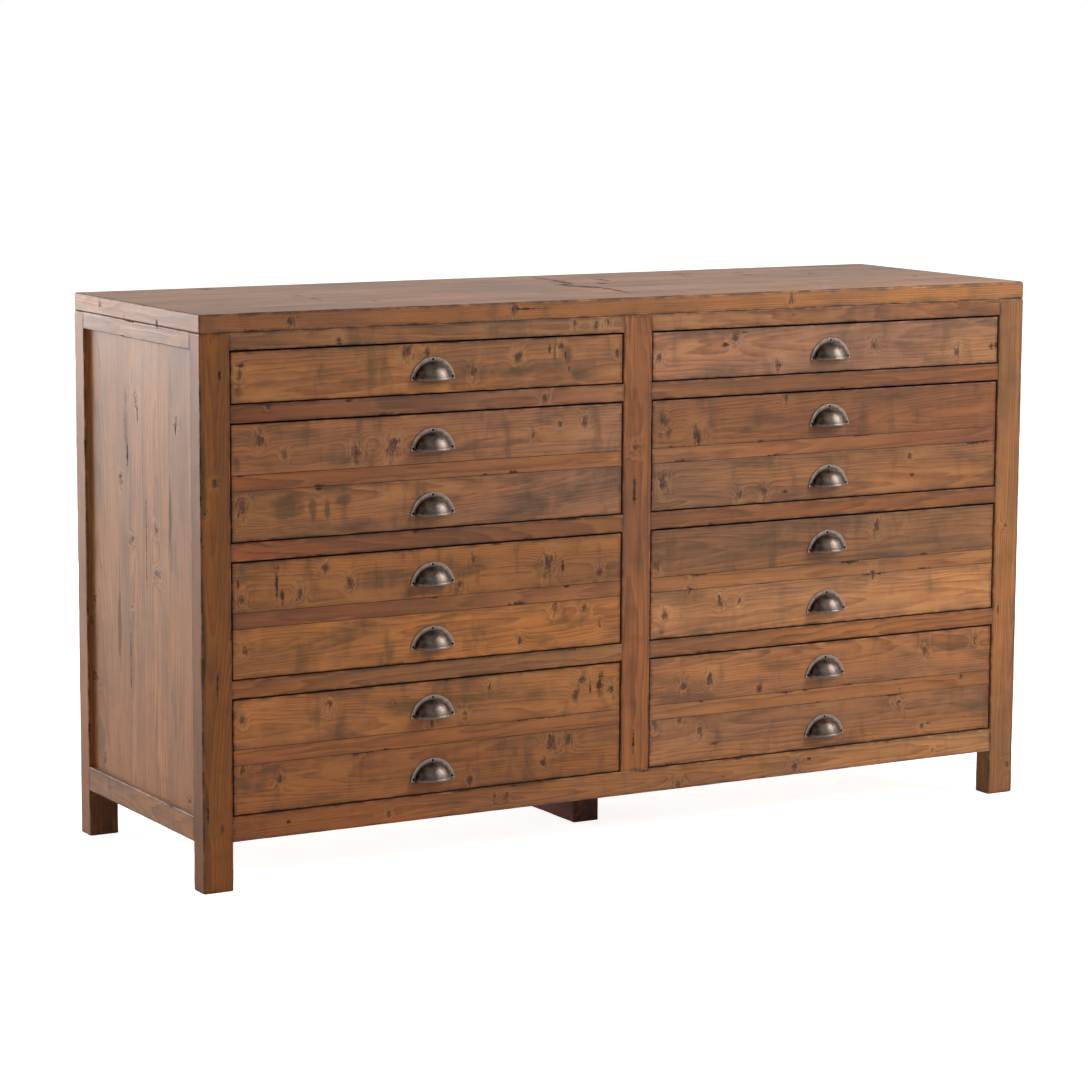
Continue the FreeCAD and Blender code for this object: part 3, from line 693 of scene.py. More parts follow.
dull = add(tree, "Math", dull, bark, operation="MAXIMUM")
gloss = add(tree, "Math", dull, 0.55, gloss, operation="MULTIPLY_ADD", use_clamp=True)
film = {"Base Color": wood, "Roughness": gloss, "Normal": normal, "IOR": 1.42}
add(tree, "OutputMaterial", add(tree, "BsdfPrincipled", film))
print("waxed pine has", len(tree.nodes), "nodes")

# %% [markdown]
# ## Bare pine
# Inside, where nobody looks, the wood is newer, planed and left without stain or wax. These
# pieces keep their CAD shape, so their grain follows the object's own axes instead of stored
# data. A drawer box has boards that run two ways, and its sides are told apart by how far they
# are from the middle of their column of drawers.

# %% Bare pine
box_low, box_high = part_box("right_drawer_2_box")
column_middle = (box_low.x + box_high.x) / 2
box_side = 14.1 * MM         # a little more than the thickness of a drawer side
side_starts = (box_high.x - box_low.x) / 2 - box_side
bare = {}
for axis, turn in (("x", 0), ("y", math.pi / 2), ("box", math.pi / 2)):
    bare[axis] = bpy.data.materials.new("bare_pine_" + axis)
    tree = new_tree(bare[axis])
    place = add(tree, "TexCoord", give=3)
    turned = add(tree, "VectorRotate", {"Vector": place, "Angle": turn})
    if axis == "box":
        x = add(tree, "Math", add(tree, "SeparateXYZ", place), operation="ABSOLUTE")
        off = add(tree, "Math", x, column_middle, operation="SUBTRACT")
        off = add(tree, "Math", off, operation="ABSOLUTE")
        is_side = add(tree, "Math", off, side_starts, operation="GREATER_THAN")
        turned = add(tree, "Mix", {0: is_side, 4: place, 5: turned}, give=1, data_type="VECTOR")
    log = add(tree, "VectorMath", turned, (0, 15 * MM, 210 * MM), operation="ADD")
    year = add(tree, "Math", ring_years(tree, log), operation="FRACT")
    late = add(tree, "MapRange", year, 0.5, 0.95, 0.0, 0.55)
    fibre = add(tree, "VectorMath", log, spreads["fibre"], operation="MULTIPLY")
    fibre = add(tree, "TexNoise", {"Vector": fibre, "Scale": 1.0, "Detail": 3.0})
    wood = add(tree, "Mix", {0: late, 6: linear("#c29a6c"), 7: linear("#a47d52")}, give=2, data_type="RGBA")
    amount = add(tree, "MapRange", fibre, 0.5, 0.3, 0.0, 0.4)
    wood = add(tree, "Mix", {0: amount, 6: wood, 7: linear("#8c6640")}, give=2, data_type="RGBA")
    normal = add(tree, "Bump", {"Height": fibre, "Distance": 0.2 * MM, "Strength": 0.6})
    planed = {"Base Color": wood, "Roughness": 0.62, "Normal": normal, "IOR": 1.5}
    add(tree, "OutputMaterial", add(tree, "BsdfPrincipled", planed))

print("bare pine materials:", len(bare))

# %% [markdown]
# ### Bare pine on the inner pieces
# Pieces that run from front to back take the grain along y, those that run across the cabinet
# along x, and the drawer boxes the one with both.

# %% Bare pine on the inner pieces
inside = {"drawer_runners": "y", "drawer_guides": "y", "web_back_rails": "x", "top_kickers": "y",
          "drawer_stops": "x", "centre_partition": "y", "centre_bearer": "y"}
inside.update({node: "box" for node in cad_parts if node.endswith("_box")})
for node, axis in inside.items():
    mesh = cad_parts[node].data
    mesh.materials.clear()
    mesh.materials.append(bare[axis])
print("bare pine on", len(inside), "CAD nodes")

# %% [markdown]
# ## Antique bronze and blackened steel
# The cup pulls are cast brass with a chemical brown-black finish. Hands rub it off the rim and
# the lip, where the paler metal shows. The screws are steel, blackened in hot oil.

# %% Metals
antique_bronze = bpy.data.materials.new("antique_bronze_cast_brass")
tree = new_tree(antique_bronze)
rubbed = add(tree, "Attribute", give=2, attribute_name="rubbed")
place = add(tree, "TexCoord", give=3)
cast = add(tree, "TexNoise", {"Vector": place, "Scale": 1 / (9 * MM), "Detail": 4.0})
grit = add(tree, "TexNoise", {"Vector": place, "Scale": 1 / (1.5 * MM), "Detail": 2.0})
shown = add(tree, "Math", cast, 0.5, operation="SUBTRACT")
shown = add(tree, "Math", shown, 0.9, rubbed, operation="MULTIPLY_ADD")
metal = add(tree, "Mix", {0: shown, 6: linear("#453228"), 7: linear("#ab9d93")}, give=2, data_type="RGBA",
            clamp_factor=True)
normal = add(tree, "Bump", {"Height": grit, "Distance": 0.15 * MM, "Strength": 0.5})
polish = add(tree, "MapRange", cast, 0.3, 0.7, 0.32, 0.50)
finish = {"Base Color": metal, "Metallic": 1.0, "Roughness": polish, "Normal": normal}
add(tree, "OutputMaterial", add(tree, "BsdfPrincipled", finish))

blackened_steel = bpy.data.materials.new("blackened_steel_screws")
tree = new_tree(blackened_steel)
grit = add(tree, "TexNoise", {"Vector": add(tree, "TexCoord", give=3), "Scale": 1 / (0.8 * MM)})
metal = add(tree, "Mix", {0: grit, 6: linear("#0d0c0b"), 7: linear("#241f1c")}, give=2, data_type="RGBA")
finish = {"Base Color": metal, "Metallic": 1.0, "Roughness": 0.5}
add(tree, "OutputMaterial", add(tree, "BsdfPrincipled", finish))
print("metals:", antique_bronze.name, blackened_steel.name)

# %% [markdown]
# ## Where the marks are
# Reclaimed boards differ, and their marks give the cabinet its character. Places on the front
# are given in millimetres from the left edge and up from the floor. Those on the left end are
# from the front edge and the floor, and those on the top from the left and front edges. After
# the two places come the mark's size along and its size up, or one size for both.

# %% Marks
front_marks = """
knot 157 910 6; knot 562 914 7; scar 590 913 26 1.5; knot 1106 913 6; knot 677 886 4; knot 718 885 4
knot 741 886 4; scar 243 870 5 2; scar 1109 884 2 2; scar 259 779 5 3; knot 118 778 4; knot 621 768 5
knot 367 852 8; scar 360 850 3 9; knot 403 850 6; knot 571 835 7; knot 488 814 6; knot 760 835 4
knot 70 828 5; scar 70 842 6 3; stain 621 816 5 10; scar 630 843 2 6; stain 641 828 2.5 28; stain 664 824 7 20
scar 667 812 2 6; scar 660 835 1.5 5; knot 652 850 5; knot 103 724 7; knot 147 697 5; knot 273 695 8
knot 339 698 9; knot 698 724 6; knot 600 705 4; knot 650 719 4; knot 71 621 9; stain 152 622 24 26
stain 196 596 6 34; stain 222 602 4 30; stain 252 618 10 12; scar 206 640 6 2; scar 132 486 3 22
scar 140 470 3 10; knot 217 513 5; knot 261 484 6; knot 172 471 6; knot 70 471 6; knot 630 489 9
scar 657 482 3 8; knot 488 505 5; knot 462 465 6; knot 729 467 6
scar 63 495 3 8; knot 75 390 5; knot 642 416 6; knot 700 408 5; knot 730 377 4; knot 576 364 5
knot 225 287 7; knot 70 277 5; scar 344 278 2.5 2.5; knot 684 262 6; scar 731 275 5 16; knot 754 264 6
scar 712 270 3 12; knot 411 240 5; knot 472 249 5; knot 519 289 5; knot 135 173 5; knot 638 186 10
knot 669 186 7; knot 623 152 5; knot 482 137 5; knot 70 196 5; knot 843 821 5; knot 992 849 7
scar 976 838 9 3; knot 1080 799 6; knot 1457 805 6; scar 1540 814 10 5; knot 1281 825 5; scar 1012 857 6 2
knot 854 716 6; knot 918 688 9; scar 922 676 3 8; knot 1099 742 5; knot 851 610 9; knot 1006 580 5
knot 1057 582 6; scar 1098 579 7 2.5; scar 1365 593 3 3; knot 1360 628 4; knot 1292 505 7; knot 839 471 6
stain 1054 490 70 12; knot 1286 421 6; knot 907 423 6; knot 968 401 6; knot 858 384 5; knot 1009 398 4
knot 950 264 7; knot 1052 237 6; knot 1401 277 7; knot 1511 286 5; knot 931 178 6; knot 840 196 6
knot 890 199 5; scar 1349 210 3 3; scar 794 601 2.5 17; stain 420 275 120 14; stain 560 120 60 8
knot 1126 94 6; scar 1158 105 4 2.5; knot 1422 95 3; scar 979 91 3 2; knot 528 103 4; knot 552 104 4
scar 149 103 3 2; knot 1572 489 4; knot 1588 52 5; scar 1560 339 2 9; scar 797 170 2 14; scar 960 152 7 3
knot 1482 224 3; knot 1347 190 6; knot 1398 141 4; scar 1412 144 5 1.5; stain 848 716 7 26; stain 862 694 6 14
stain 852 352 7 15; stain 66 800 8 20; stain 64 690 6 14; knot 25 660 4; knot 7 614 4; scar 34 828 2 6
scar 33 105 4 9; scar 8 132 2 24; stain 4 420 3 110; stain 6 150 4 50; stain 5 680 3 50; scar 26 330 1.6 18
"""
left_marks = """
knot 394 914 4; scar 293 901 1.5 4; scar 162 898 5 5; scar 144 903 2.5 6; knot 340 627 6; knot 274 766 6
scar 268 748 2 14; knot 114 749 6; scar 116 735 2 8; knot 454 410 6; knot 420 141 5; stain 316 708 8 50
scar 320 724 2 24; scar 310 668 2.5 26; stain 140 560 5 110; knot 200 560 5; stain 352 400 7 80
scar 236 520 1.2 60; scar 305 330 1.2 50
"""
top_marks = """
scar 862 424 4 34; scar 860 376 5 30; scar 848 330 9 32; scar 827 284 10 28; scar 823 254 9 18
scar 836 234 10 18; scar 845 210 8 22; scar 846 179 5 26; scar 843 143 4 26; scar 839 106 4 26
scar 900 294 7 18; scar 942 354 7 16; scar 832 82 8 3; knot 300 200 8; knot 1240 350 9
"""
print("lines of marks:", sum(text.count("\n") - 1 for text in (front_marks, left_marks, top_marks)))

# %% [markdown]
# ### Reading the marks
# The texts above become lists of marks in metres, in the object's own axes. Each board then
# picks those that lie on it, or near enough to reach it.

# %% Reading the marks
knot_height = 1.5            # a branch is cut at a slant, so a knot is taller than wide
mark_reach = 4 * MM          # a mark this far outside a board still shows on it


def read_marks(text, left=0.0, front=0.0):
    """Marks as (kind, along, across, size, size across) in metres, from a start in the frame."""
    found = []
    for line in text.replace("\n", ";").split(";"):
        if line.strip():
            kind, *numbers = line.split()
            a, b, *sizes = [float(number) * MM for number in numbers]
            tall = knot_height if kind == "knot" else 1
            found.append((kind, left + a, front + b, sizes[0], sizes[-1] * tall))
    return found


left_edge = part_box("top_panel")[0].x
front_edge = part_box("top_panel")[0].y
marks_on = {"front": read_marks(front_marks, left_edge), "left": read_marks(left_marks, front_edge),
            "top": read_marks(top_marks, left_edge, front_edge)}


def marks_for(face, low, high, axes, turned=False):
    """The marks that lie on a board's face. Turned swaps them for a board whose grain runs up."""
    first, second = axes
    found = []
    for kind, a, b, size_a, size_b in marks_on[face]:
        beside = low[first] - mark_reach < a < high[first] + mark_reach
        if beside and low[second] - mark_reach < b < high[second] + mark_reach:
            found.append((kind, b, a, size_b, size_a) if turned else (kind, a, b, size_a, size_b))
    return found


print({face: len(marks) for face, marks in marks_on.items()}, "marks")

# %% [markdown]
# ## From CAD nodes to boards
# Each dressed piece takes its place from the CAD node that it stands for. A rail in the CAD model
# is longer than what shows, because its tenons run into the posts, so it is cut back to its
# shoulders. A node with several rails is split into its loose parts first.

# %% Loose parts of a node
X, Y, Z = 0, 1, 2


def loose_boxes(node):
    """The corners of each separate solid in a CAD node, sorted by height and then from the left."""
    work = bmesh.new()
    work.from_mesh(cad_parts[node].data)
    bmesh.ops.remove_doubles(work, verts=work.verts, dist=0.01 * MM)
    left, boxes = set(work.verts), []
    while left:
        found, queue = [], [left.pop()]
        while queue:
            point = queue.pop()
            found.append(tuple(point.co))
            for edge in point.link_edges:
                other = edge.other_vert(point)
                if other in left:
                    left.discard(other)
                    queue.append(other)
        boxes.append((np.min(found, axis=0), np.max(found, axis=0)))
    work.free()
    return sorted(boxes, key=lambda box: (round(box[0][2], 3), box[0][0]))


def cut(box, axis, start, end):
    """A box cut back along an axis."""
    low, high = np.array(box[0], float), np.array(box[1], float)
    low[axis], high[axis] = max(low[axis], start), min(high[axis], end)
    return low, high


def dress(name, nodes, body, boards):
    """Make one object of boards that stands for CAD nodes and rides on a body."""
    thing = join(name, boards, waxed_pine)
    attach(thing, body)
    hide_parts(*nodes)
    return thing


print("front divider rails on the left:", len(loose_boxes("left_divider_rails")))

# %% [markdown]
# ## Top
# The slab is glued up from five planks with hairline joints. Its outer arrises are rounded by
# hand and more worn than any other, because everything is dragged over them.

# %% Top planks
top_low, top_high = (np.array(corner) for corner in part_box("top_panel"))
plank_count = 5
plank_age = 0.7
top_round = 3.2 * MM
top_end_round = 2.4 * MM
plank_tones = [((0.75, 0.65, 0.55), (1.30, 1.25, 1.0)), ((1.0, 0.95, 0.90), (0.90, 0.90, 0.95)),
               ((0.90, 0.90, 0.90), (0.75, 0.80, 0.90)), (0.90, 0.90, 0.95), (0.85, 0.85, 0.90)]
seams = np.linspace(top_low[Y], top_high[Y], plank_count + 1)
planks = []
for k in range(plank_count):
    low, high = top_low.copy(), top_high.copy()
    low[Y], high[Y] = seams[k], seams[k + 1]
    front_side, back_side = k == 0, k == plank_count - 1
    radii = [top_round if back_side else hairline, top_round if front_side else hairline,
             worn_radius if front_side else hairline, worn_radius if back_side else hairline]
    plank = board(low, high, X, Y, 100 + k, radii, top_end_round, (front_side, back_side, 1, 1), chips=3.0,
                  tone=plank_tones[k], age=plank_age, marks=marks_for("top", low, high, (X, Y)),
                  side_marks=marks_for("front", low, high, (X, Z)) if front_side else (),
                  end_marks=marks_for("left", low, high, (Y, Z)), random_knots=0.4)
    planks.append(lipping(plank, (top_low + top_high) / 2, 120))
dress("top_slab", ["top_panel"], "carcass", planks)
print(plank_count, "planks of", round((seams[1] - seams[0]) / MM), "mm")

# %% [markdown]
# ## Posts and stiles
# Four posts stand on the floor and carry everything. Their grain runs upright, and the feet are
# eased so that they don't splinter. The front stile stops at the bottom rail.

# %% Posts and stiles
# The rear left post's tone is darker towards its foot and lighter above it: painted shade under the cabinet.
post_tones = {"front_left_post": (0.70, 0.50, 0.10), "front_right_post": (1.0, 0.95, 0.75),
              "rear_left_post": ((0.75, 0.65, 0.60), (1.15, 1.15, 1.10)), "rear_right_post": (1.0, 1.0, 1.0)}
post_age = 0.6
post_round, foot_round = 1.6 * MM, 2.2 * MM
most_knocked, knocked = 18, 6            # chips on the front left post and on the others
for k, (node, tone) in enumerate(post_tones.items()):
    low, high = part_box(node)
    side_marks = marks_for("left", low, high, (Y, Z), True) if "left" in node else ()
    # A dark stain mark at the foot of each rear post: painted shade under the cabinet.
    painted_foot_shade = [("stain", 40 * MM, (low.x + high.x) / 2, 75 * MM, 60 * MM)]
    marks = painted_foot_shade if "rear" in node else marks_for("front", low, high, (X, Z), True)
    chips = most_knocked if node == "front_left_post" else knocked
    post = board(low, high, Z, X, 200 + k, post_round, foot_round, chips=chips, tone=tone, age=post_age,
                 marks=marks, side_marks=side_marks, random_knots=0.6)
    dress(node + "_board", [node], "carcass", [post])

bottom_rail_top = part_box("front_bottom_rail")[1].z
lap_in = 1.0 * MM            # how far a board's rounded end runs on past its shoulder
stile = cut(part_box("front_centre_stile"), Z, bottom_rail_top - lap_in, 1)
stile = board(*stile, Z, X, 210, tone=(0.90, 0.75, 0.60), age=post_age,
              marks=marks_for("front", *stile, (X, Z), True), random_knots=0.6)
dress("front_centre_stile_board", ["front_centre_stile"], "carcass", [stile])
between_rails = (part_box("back_bottom_rail")[1].z - lap_in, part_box("back_top_rail")[0].z + lap_in)
stile = cut(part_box("rear_centre_stile"), Z, *between_rails)
dress("rear_centre_stile_board", ["rear_centre_stile"], "carcass", [board(*stile, Z, X, 211)])

# %% [markdown]
# ## Rails of the front
# The top rails and the dividers between drawers are thinner, redder wood. Each runs from a post
# to the stile. The heavier bottom rail runs under the stile from post to post.

# %% Rails
post_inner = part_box("front_right_post")[0].x
stile_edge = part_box("front_centre_stile")[1].x
openings = {"left": (-post_inner - lap_in, -stile_edge + lap_in),
            "right": (stile_edge - lap_in, post_inner + lap_in)}
rail_tones = {"left": [((0.80, 0.65, 0.45), (1.05, 1.05, 0.95)), ((0.80, 0.55, 0.40), (0.70, 0.65, 0.60)),
                       ((0.50, 0.35, 0.25), (0.95, 0.95, 1.20))],
              "right": [((1.0, 0.90, 0.75), (1.0, 0.85, 0.60)), ((0.80, 0.70, 0.65), (0.80, 0.65, 0.40)),
                        ((0.85, 0.80, 0.80), (0.95, 0.70, 0.40))]}
top_rail_tones = {"left": ((0.80, 0.75, 0.70), (0.90, 0.95, 1.10)),
                  "right": ((1.0, 1.05, 1.20), (0.90, 0.80, 0.75))}
rail_age = 0.35
rails = []
for k, box in enumerate(loose_boxes("front_top_rails")):
    side = "left" if box[0][0] < -stile_edge else "right"
    low, high = cut(box, X, *openings[side])
    rails.append(board(low, high, X, Z, 220 + k, tone=top_rail_tones[side],
                       marks=marks_for("front", low, high, (X, Z))))
dress("front_top_rail_boards", ["front_top_rails"], "carcass", rails)
for side in ("left", "right"):
    rails = []
    for k, box in enumerate(loose_boxes(side + "_divider_rails")):
        low, high = cut(box, X, *openings[side])
        seed = 230 + 10 * (side == "right") + k
        rails.append(board(low, high, X, Z, seed, tone=rail_tones[side][k], age=rail_age,
                           marks=marks_for("front", low, high, (X, Z)), random_knots=0.5))
    dress(side + "_divider_rail_boards", [side + "_divider_rails"], "carcass", rails)
low, high = cut(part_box("front_bottom_rail"), X, -post_inner - lap_in, post_inner + lap_in)
rail = board(low, high, X, Z, 250, tone=((0.85, 0.60, 0.35), (1.25, 1.40, 1.50)), age=plank_age,
             marks=marks_for("front", low, high, (X, Z)))
dress("front_bottom_rail_board", ["front_bottom_rail"], "carcass", [rail])
foot = board(*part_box("centre_foot"), Y, X, 251, tone=(0.55, 0.20, 0.05), random_knots=0.2)
dress("centre_foot_block", ["centre_foot"], "carcass", [foot])
print("rails run between", [round(x / MM) for x in openings["right"]], "mm")

# %% [markdown]
# ## Ends and back
# Each end is a frame with a sunk panel of upright boards, glued edge to edge. The back is made
# the same way, in two halves. The light catches the end at a low angle, where wax looks pale.

# %% End frames and panels
post_faces = (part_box("front_left_post")[1].y - lap_in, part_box("rear_left_post")[0].y + lap_in)
panel_age = 0.55
end_boards, back_boards = 4, 7


def glued_panel(node, across, count, seed, side=None):
    """Upright boards, glued edge to edge, in place of a CAD panel."""
    low, high = (np.array(corner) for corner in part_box(node))
    source = random.Random(seed)
    lines = np.linspace(low[across], high[across], count + 1)
    lines[1:-1] += [source.uniform(-0.12, 0.12) * (lines[1] - lines[0]) for _ in range(count - 1)]
    boards = []
    for k in range(count):
        start, end = low.copy(), high.copy()
        start[across], end[across] = lines[k], lines[k + 1]
        level = source.uniform(0.93, 1.07)
        marks = marks_for(side, start, end, (across, Z), True) if side else ()
        boards.append(board(start, end, Z, across, seed + k, hairline, hairline, tone=(level, level, level),
                            age=panel_age, marks=marks, random_knots=0.5))
    return boards


for k, side in enumerate(("left", "right")):
    shows = "left" if side == "left" else None
    panel = glued_panel(side + "_side_panel", Y, end_boards, 300 + 20 * k, shows)
    dress(side + "_side_panel_boards", [side + "_side_panel"], "carcass", panel)
    back = glued_panel(side + "_back_panel", X, back_boards, 340 + 20 * k)
    dress(side + "_back_panel_boards", [side + "_back_panel"], "carcass", back)
    for n, level in enumerate(("top", "bottom")):
        node = side + "_side_" + level + "_rail"
        low, high = cut(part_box(node), Y, *post_faces)
        marks = marks_for("left", low, high, (Y, Z)) if shows else ()
        rail = board(low, high, Y, Z, 380 + 2 * k + n, marks=marks)
        dress(node + "_board", [node], "carcass", [rail])
for k, node in enumerate(("back_top_rail", "back_bottom_rail")):
    low, high = cut(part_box(node), X, -post_inner - lap_in, post_inner + lap_in)
    dress(node + "_board", [node], "carcass", [board(low, high, X, Z, 390 + k)])
print("boards in an end:", end_boards, "and in half the back:", back_boards)

# %% [markdown]
# ## Drawer fronts
# Each deep drawer looks like two flat ones: an upper and a lower board with a strip let in
# between them, like the rails. Tones are given for the lower board, the upper one and the strip.
# Behind its worn face the front keeps the CAD shape, with the sockets that the dovetails of the
# drawer's sides fit.

# %% Drawer fronts
fronts_tone = {
    "left_drawer_1": [((0.95, 0.85, 0.70), (1.05, 1.0, 1.0))],
    "left_drawer_2": [((0.90, 0.80, 0.60), (0.90, 0.95, 1.30)), ((1.0, 0.85, 0.65), (0.95, 1.0, 1.35)),
                      ((0.80, 0.60, 0.40), (1.15, 1.05, 0.90))],
    "left_drawer_3": [((1.25, 1.05, 0.65), (1.20, 1.05, 0.75)), (0.90, 0.80, 0.60),
                      ((0.70, 0.50, 0.35), (1.15, 1.0, 0.80))],
    "left_drawer_4": [((0.85, 0.70, 0.50), (0.85, 0.75, 0.60)), ((1.10, 0.95, 0.70), (1.05, 0.95, 0.75)),
                      ((1.10, 0.80, 0.50), (0.90, 0.80, 0.70))],
    "right_drawer_1": [((1.10, 1.15, 1.70), (1.10, 1.15, 1.30))],
    "right_drawer_2": [((0.85, 0.90, 1.05), (1.0, 0.90, 0.75)), ((0.75, 0.70, 0.70), (0.90, 0.70, 0.50)),
                       ((1.10, 1.05, 1.0), (0.80, 0.60, 0.50))],
    "right_drawer_3": [(1.40, 1.40, 1.40), (0.80, 0.80, 0.80), (1.05, 1.0, 0.90)],
    "right_drawer_4": [((1.05, 1.05, 1.25), (0.95, 0.90, 0.85)), ((1.15, 1.10, 1.15), (1.05, 0.95, 0.90)),
                       ((1.20, 1.20, 1.15), (0.85, 0.75, 0.65))]}


def socketed_back(node, start, below, above, like):
    """The CAD front from a depth on and between two heights, with another board's wood."""
    work = bmesh.new()
    work.from_mesh(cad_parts[node].data)
    bmesh.ops.remove_doubles(work, verts=work.verts, dist=0.001 * MM)
    for point, away in (((0, start, 0), (0, -1, 0)), ((0, 0, below), (0, 0, -1)), ((0, 0, above), (0, 0, 1))):
        everything = work.verts[:] + work.edges[:] + work.faces[:]
        bmesh.ops.bisect_plane(work, geom=everything, dist=0.001 * MM, plane_co=point, plane_no=away,
                               clear_outer=True)
    work.verts.index_update()
    points = np.array([tuple(point.co) for point in work.verts])
    faces = [[point.index for point in face.verts] for face in work.faces]
    work.free()
    low, high, seed = like
    log = log_place(points, (X, Z, Y), (low + high) / 2, (high - low)[Z], seed)
    return {"points": points, "faces": faces, "edge": np.zeros(len(points)), "log": log, "axes": (X, Z)}


print("tones are given for", len(fronts_tone), "drawers")

# %% [markdown]
# ### Boards of a front
# Each front is one or two worn boards before the socketed back. Where a strip lies between two
# boards, their arrises are crisp, and a thin dark gap shows that they are separate.

# %% Fronts and their strips
fronts_age = {"left": 1.45, "right": 1.15}       # the boards on the left have seen more weather
strip_gap = 0.6 * MM
buried, crisp = 0.1 * MM, 0.4 * MM       # arrises inside the front, and beside its strip
strip_radii = [0.3 * MM, 0.3 * MM, crisp, crisp]
strip_end_round = 0.8 * MM
front_shrink = (1, 1, 1, 0)              # the face that lies on the back isn't rounded
for k, (drawer, tones) in enumerate(fronts_tone.items()):
    low, high = (np.array(corner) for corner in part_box(drawer + "_front"))
    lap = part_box(drawer + "_box")[0].y
    spans = [(low[Z], high[Z])]
    strip = drawer + "_false_rail"
    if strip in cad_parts:
        strip_low, strip_high = (np.array(corner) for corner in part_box(strip))
        spans = [(low[Z], strip_low[Z] - strip_gap), (strip_high[Z] + strip_gap, high[Z])]
    pieces = []
    for n, (below, above) in enumerate(spans):
        start, end = low.copy(), high.copy()
        start[Z], end[Z], end[Y] = below, above, lap
        seed = 400 + 10 * k + n
        radii = [buried, buried, worn_radius, worn_radius]
        if len(spans) == 2:
            radii[3 - n] = crisp
        face = board(start, end, X, Z, seed, radii, worn_radius, front_shrink, tone=tones[n],
                     age=fronts_age[drawer.split("_")[0]], marks=marks_for("front", start, end, (X, Z)),
                     random_knots=0.25)
        middle = (low[Z] + high[Z]) / 2
        back_low = low[Z] - 1 if n == 0 else middle
        back_high = high[Z] + 1 if n == len(spans) - 1 else middle
        back = socketed_back(drawer + "_front", lap, back_low, back_high, (start, end, seed))
        back.update(tone=face["tone"], age=face["age"])
        pieces += [face, back]
    dress(drawer + "_front_boards", [drawer + "_front"], drawer, pieces)
    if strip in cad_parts:
        rail = board(strip_low, strip_high, X, Z, 500 + k, strip_radii, strip_end_round, front_shrink,
                     tone=tones[2], age=rail_age, random_knots=0.3,
                     marks=marks_for("front", strip_low, strip_high, (X, Z)))
        dress(strip + "_strip", [strip], drawer, [rail])
print("dressed", len(fronts_tone), "drawer fronts")

# %% [markdown]
# ## Cup pulls
# A cup pull is a quarter of a hollow dome on a flat flange, held by three screws, with a
# thickened lip where fingers pull. The real one is cast. Here a section is turned about an axis
# just below the pull, as on a lathe, and what lies under the opening is cut away.

# %% Section of the pull
pull_low, pull_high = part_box("right_drawer_1_pulls")
pull_width, pull_height = pull_high.x - pull_low.x, pull_high.z - pull_low.z
pull_depth = pull_high.y - pull_low.y
flange_width = 8 * MM
flange_thickness = 2 * MM
cup_wall = 2 * MM
lip_height = 4.4 * MM
lip_bulge = 1.0 * MM
turned_radius = ((pull_width / 2) ** 2 + pull_height ** 2) / (2 * pull_height)
axis_drop = turned_radius - pull_height      # the axis of the lathe is this far below the opening
dome_radius = turned_radius - flange_width
dome_steps, turn_steps = 14, 96
bead_steps, arch_steps = 8, 56
bead_rub = 0.5
screw_head, screw_rise = 2.1 * MM, 0.9 * MM
screw_steps, screw_sides = 4, 16
screw_inset = 3.9 * MM       # from the outline of the flange to the middle of a screw
screw_angles = (90, 12.5, 167.5)


def dome_point(t, offset=0.0):
    """Radius and height of the dome, from its foot (t = 0) to its crown (t = 1)."""
    angle = t * math.pi / 2
    rise = pull_depth - lip_bulge - flange_thickness
    radius, height = dome_radius * math.cos(angle), flange_thickness + rise * math.sin(angle)
    out = Vector((rise * math.cos(angle), dome_radius * math.sin(angle))).normalized()
    return radius + offset * out[0], height + offset * out[1]


def section():
    """The pull's section as (radius, height, how rubbed the bronze is), round the metal."""
    rim = [(turned_radius - 0.6 * MM, 0, 0.5), (turned_radius, 0.5 * MM, 0.9), (turned_radius, 1.3 * MM, 1.0),
           (turned_radius - 0.5 * MM, 1.9 * MM, 1.0), (turned_radius - 1.4 * MM, flange_thickness, 0.75),
           (dome_radius + 4 * MM, flange_thickness, 0.55), (dome_radius + 1.2 * MM, flange_thickness, 0.15)]
    outside = [(*dome_point(k / dome_steps), 0.10 + 0.22 * min(1, 1.6 * k / dome_steps))
               for k in range(dome_steps + 1)]
    inside = [(*dome_point(k / dome_steps, -cup_wall), 0.05) for k in range(dome_steps, -1, -1)]
    foot = [(dome_radius - cup_wall, 0, 0.05)]
    return rim + outside + inside + foot


print("the pull is turned on a radius of", round(turned_radius / MM, 1), "mm")

# %% [markdown]
# ### Turning the pull
# The section goes round its axis in steps, the part below the opening is cut away, and a bead
# is laid along the lower edge.


# %% Cup and lip
def turned_cup(work, rubbed):
    """Turn the section about the pull's axis, then cut away what lies below the opening."""
    rings = []
    for radius, height, rub in section():
        if radius < 0.01 * MM:
            ring = [work.verts.new((0, -height, 0))] * turn_steps
        else:
            turns = [2 * math.pi * k / turn_steps for k in range(turn_steps)]
            ring = [work.verts.new((radius * math.cos(t), -height, radius * math.sin(t))) for t in turns]
        for point in ring:
            point[rubbed] = rub
        rings.append(ring)
    for one, other in zip(rings, rings[1:] + rings[:1]):
        for k in range(turn_steps):
            n = (k + 1) % turn_steps
            corners = [one[k], other[k], other[n], one[n]]
            corners = [corner for i, corner in enumerate(corners) if corner not in corners[:i]]
            if len(corners) > 2:
                work.faces.new(corners)
    everything = work.verts[:] + work.edges[:] + work.faces[:]
    cut_through = bmesh.ops.bisect_plane(work, geom=everything, dist=0.001 * MM, plane_co=(0, 0, axis_drop),
                                         plane_no=(0, 0, -1), clear_outer=True)
    edges = [thing for thing in cut_through["geom_cut"] if isinstance(thing, bmesh.types.BMEdge)]
    bmesh.ops.holes_fill(work, edges=edges)


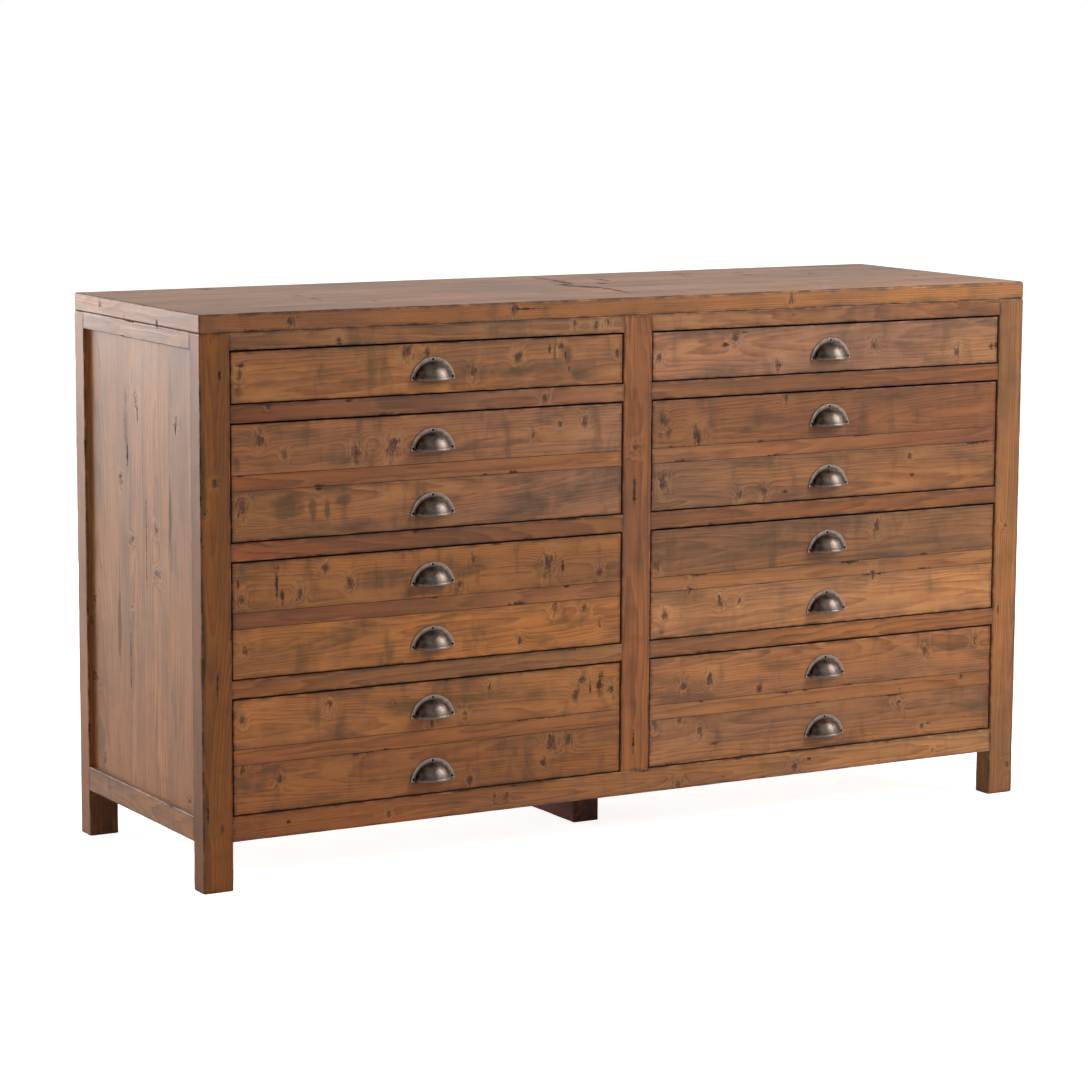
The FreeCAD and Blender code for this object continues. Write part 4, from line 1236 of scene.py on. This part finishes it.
def lip(work, rubbed):
    """A rounded bead along the lower edge of the dome, from flange to flange."""
    rows = []
    for i in range(bead_steps + 1):
        s = i / bead_steps
        z = axis_drop + s * lip_height
        bulge = lip_bulge * math.sqrt(max(0.0, 1 - abs(2 * s - 1) ** 3)) - 0.25 * MM
        row = []
        for k in range(arch_steps + 1):
            x = math.cos(math.pi * k / arch_steps) * math.sqrt(dome_radius ** 2 - z ** 2)
            t = math.acos(min(1.0, math.hypot(x, z) / dome_radius)) / (math.pi / 2)
            radius, height = dome_point(t, bulge)
            flat = math.sqrt(max(0.0, radius ** 2 - z ** 2))
            point = work.verts.new((math.copysign(flat, x), -height, z))
            point[rubbed] = bead_rub
            row.append(point)
        rows.append(row)
    for one, other in zip(rows, rows[1:]):
        for k in range(arch_steps):
            work.faces.new((one[k], one[k + 1], other[k + 1], other[k]))


print("the lip is", round(lip_height / MM, 1), "mm high")

# %% [markdown]
# ### Screws
# A screw head is a low dome of a few rings, in the second material of the mesh. The three sit at
# the top of the flange and near its two ends.


# %% Screws, and the whole pull
def screw(work, x, z):
    """A small round-headed screw on the flange."""
    turns = [2 * math.pi * a / screw_sides for a in range(screw_sides)]
    rings = []
    for k in range(screw_steps + 1):
        angle = k / screw_steps * math.pi / 2
        radius = max(screw_head * math.cos(angle), 0.05 * MM)
        height = flange_thickness + screw_rise * math.sin(angle)
        rings.append([work.verts.new((x + radius * math.cos(t), -height, z + radius * math.sin(t)))
                      for t in turns])
    for one, other in zip(rings, rings[1:]):
        for a in range(screw_sides):
            b = (a + 1) % screw_sides
            work.faces.new((one[a], one[b], other[b], other[a])).material_index = 1
    work.faces.new(rings[-1]).material_index = 1


def pull_mesh():
    """The cup, its lip and its three screws, with the middle of the opening at the origin."""
    work = bmesh.new()
    rubbed = work.verts.layers.float.new("rubbed")
    turned_cup(work, rubbed)
    lip(work, rubbed)
    bmesh.ops.recalc_face_normals(work, faces=work.faces)
    ring = turned_radius - screw_inset
    for angle in screw_angles:
        screw(work, ring * math.cos(math.radians(angle)), ring * math.sin(math.radians(angle)))
    bmesh.ops.translate(work, verts=work.verts, vec=(0, 0, -axis_drop))
    mesh = bpy.data.meshes.new("cup_pull")
    work.to_mesh(mesh)
    work.free()
    mesh.materials.append(antique_bronze)
    mesh.materials.append(blackened_steel)
    mesh.shade_smooth()
    mesh.set_sharp_from_angle(angle=math.radians(40))
    return mesh


one_pull = pull_mesh()
print("one pull has", len(one_pull.polygons), "faces")

# %% [markdown]
# ### Pulls on their drawers
# Every pull is a copy of that one mesh, put where the CAD model has it. A shallow drawer has one
# and a deep drawer two, and each rides on its drawer.

# %% Pulls on their drawers
pull_count = 0
for drawer in fronts_tone:
    for k, (low, high) in enumerate(loose_boxes(drawer + "_pulls")):
        name = drawer + ("_pull" if drawer.endswith("1") else ("_lower_pull", "_upper_pull")[k])
        pull = bpy.data.objects.new(name, one_pull.copy())
        pull.location = ((low[X] + high[X]) / 2, high[Y], low[Z])
        bpy.context.scene.collection.objects.link(pull)
        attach(pull, drawer)
        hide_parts(drawer + "_pulls")
        pull_count += 1
print("cup pulls:", pull_count)
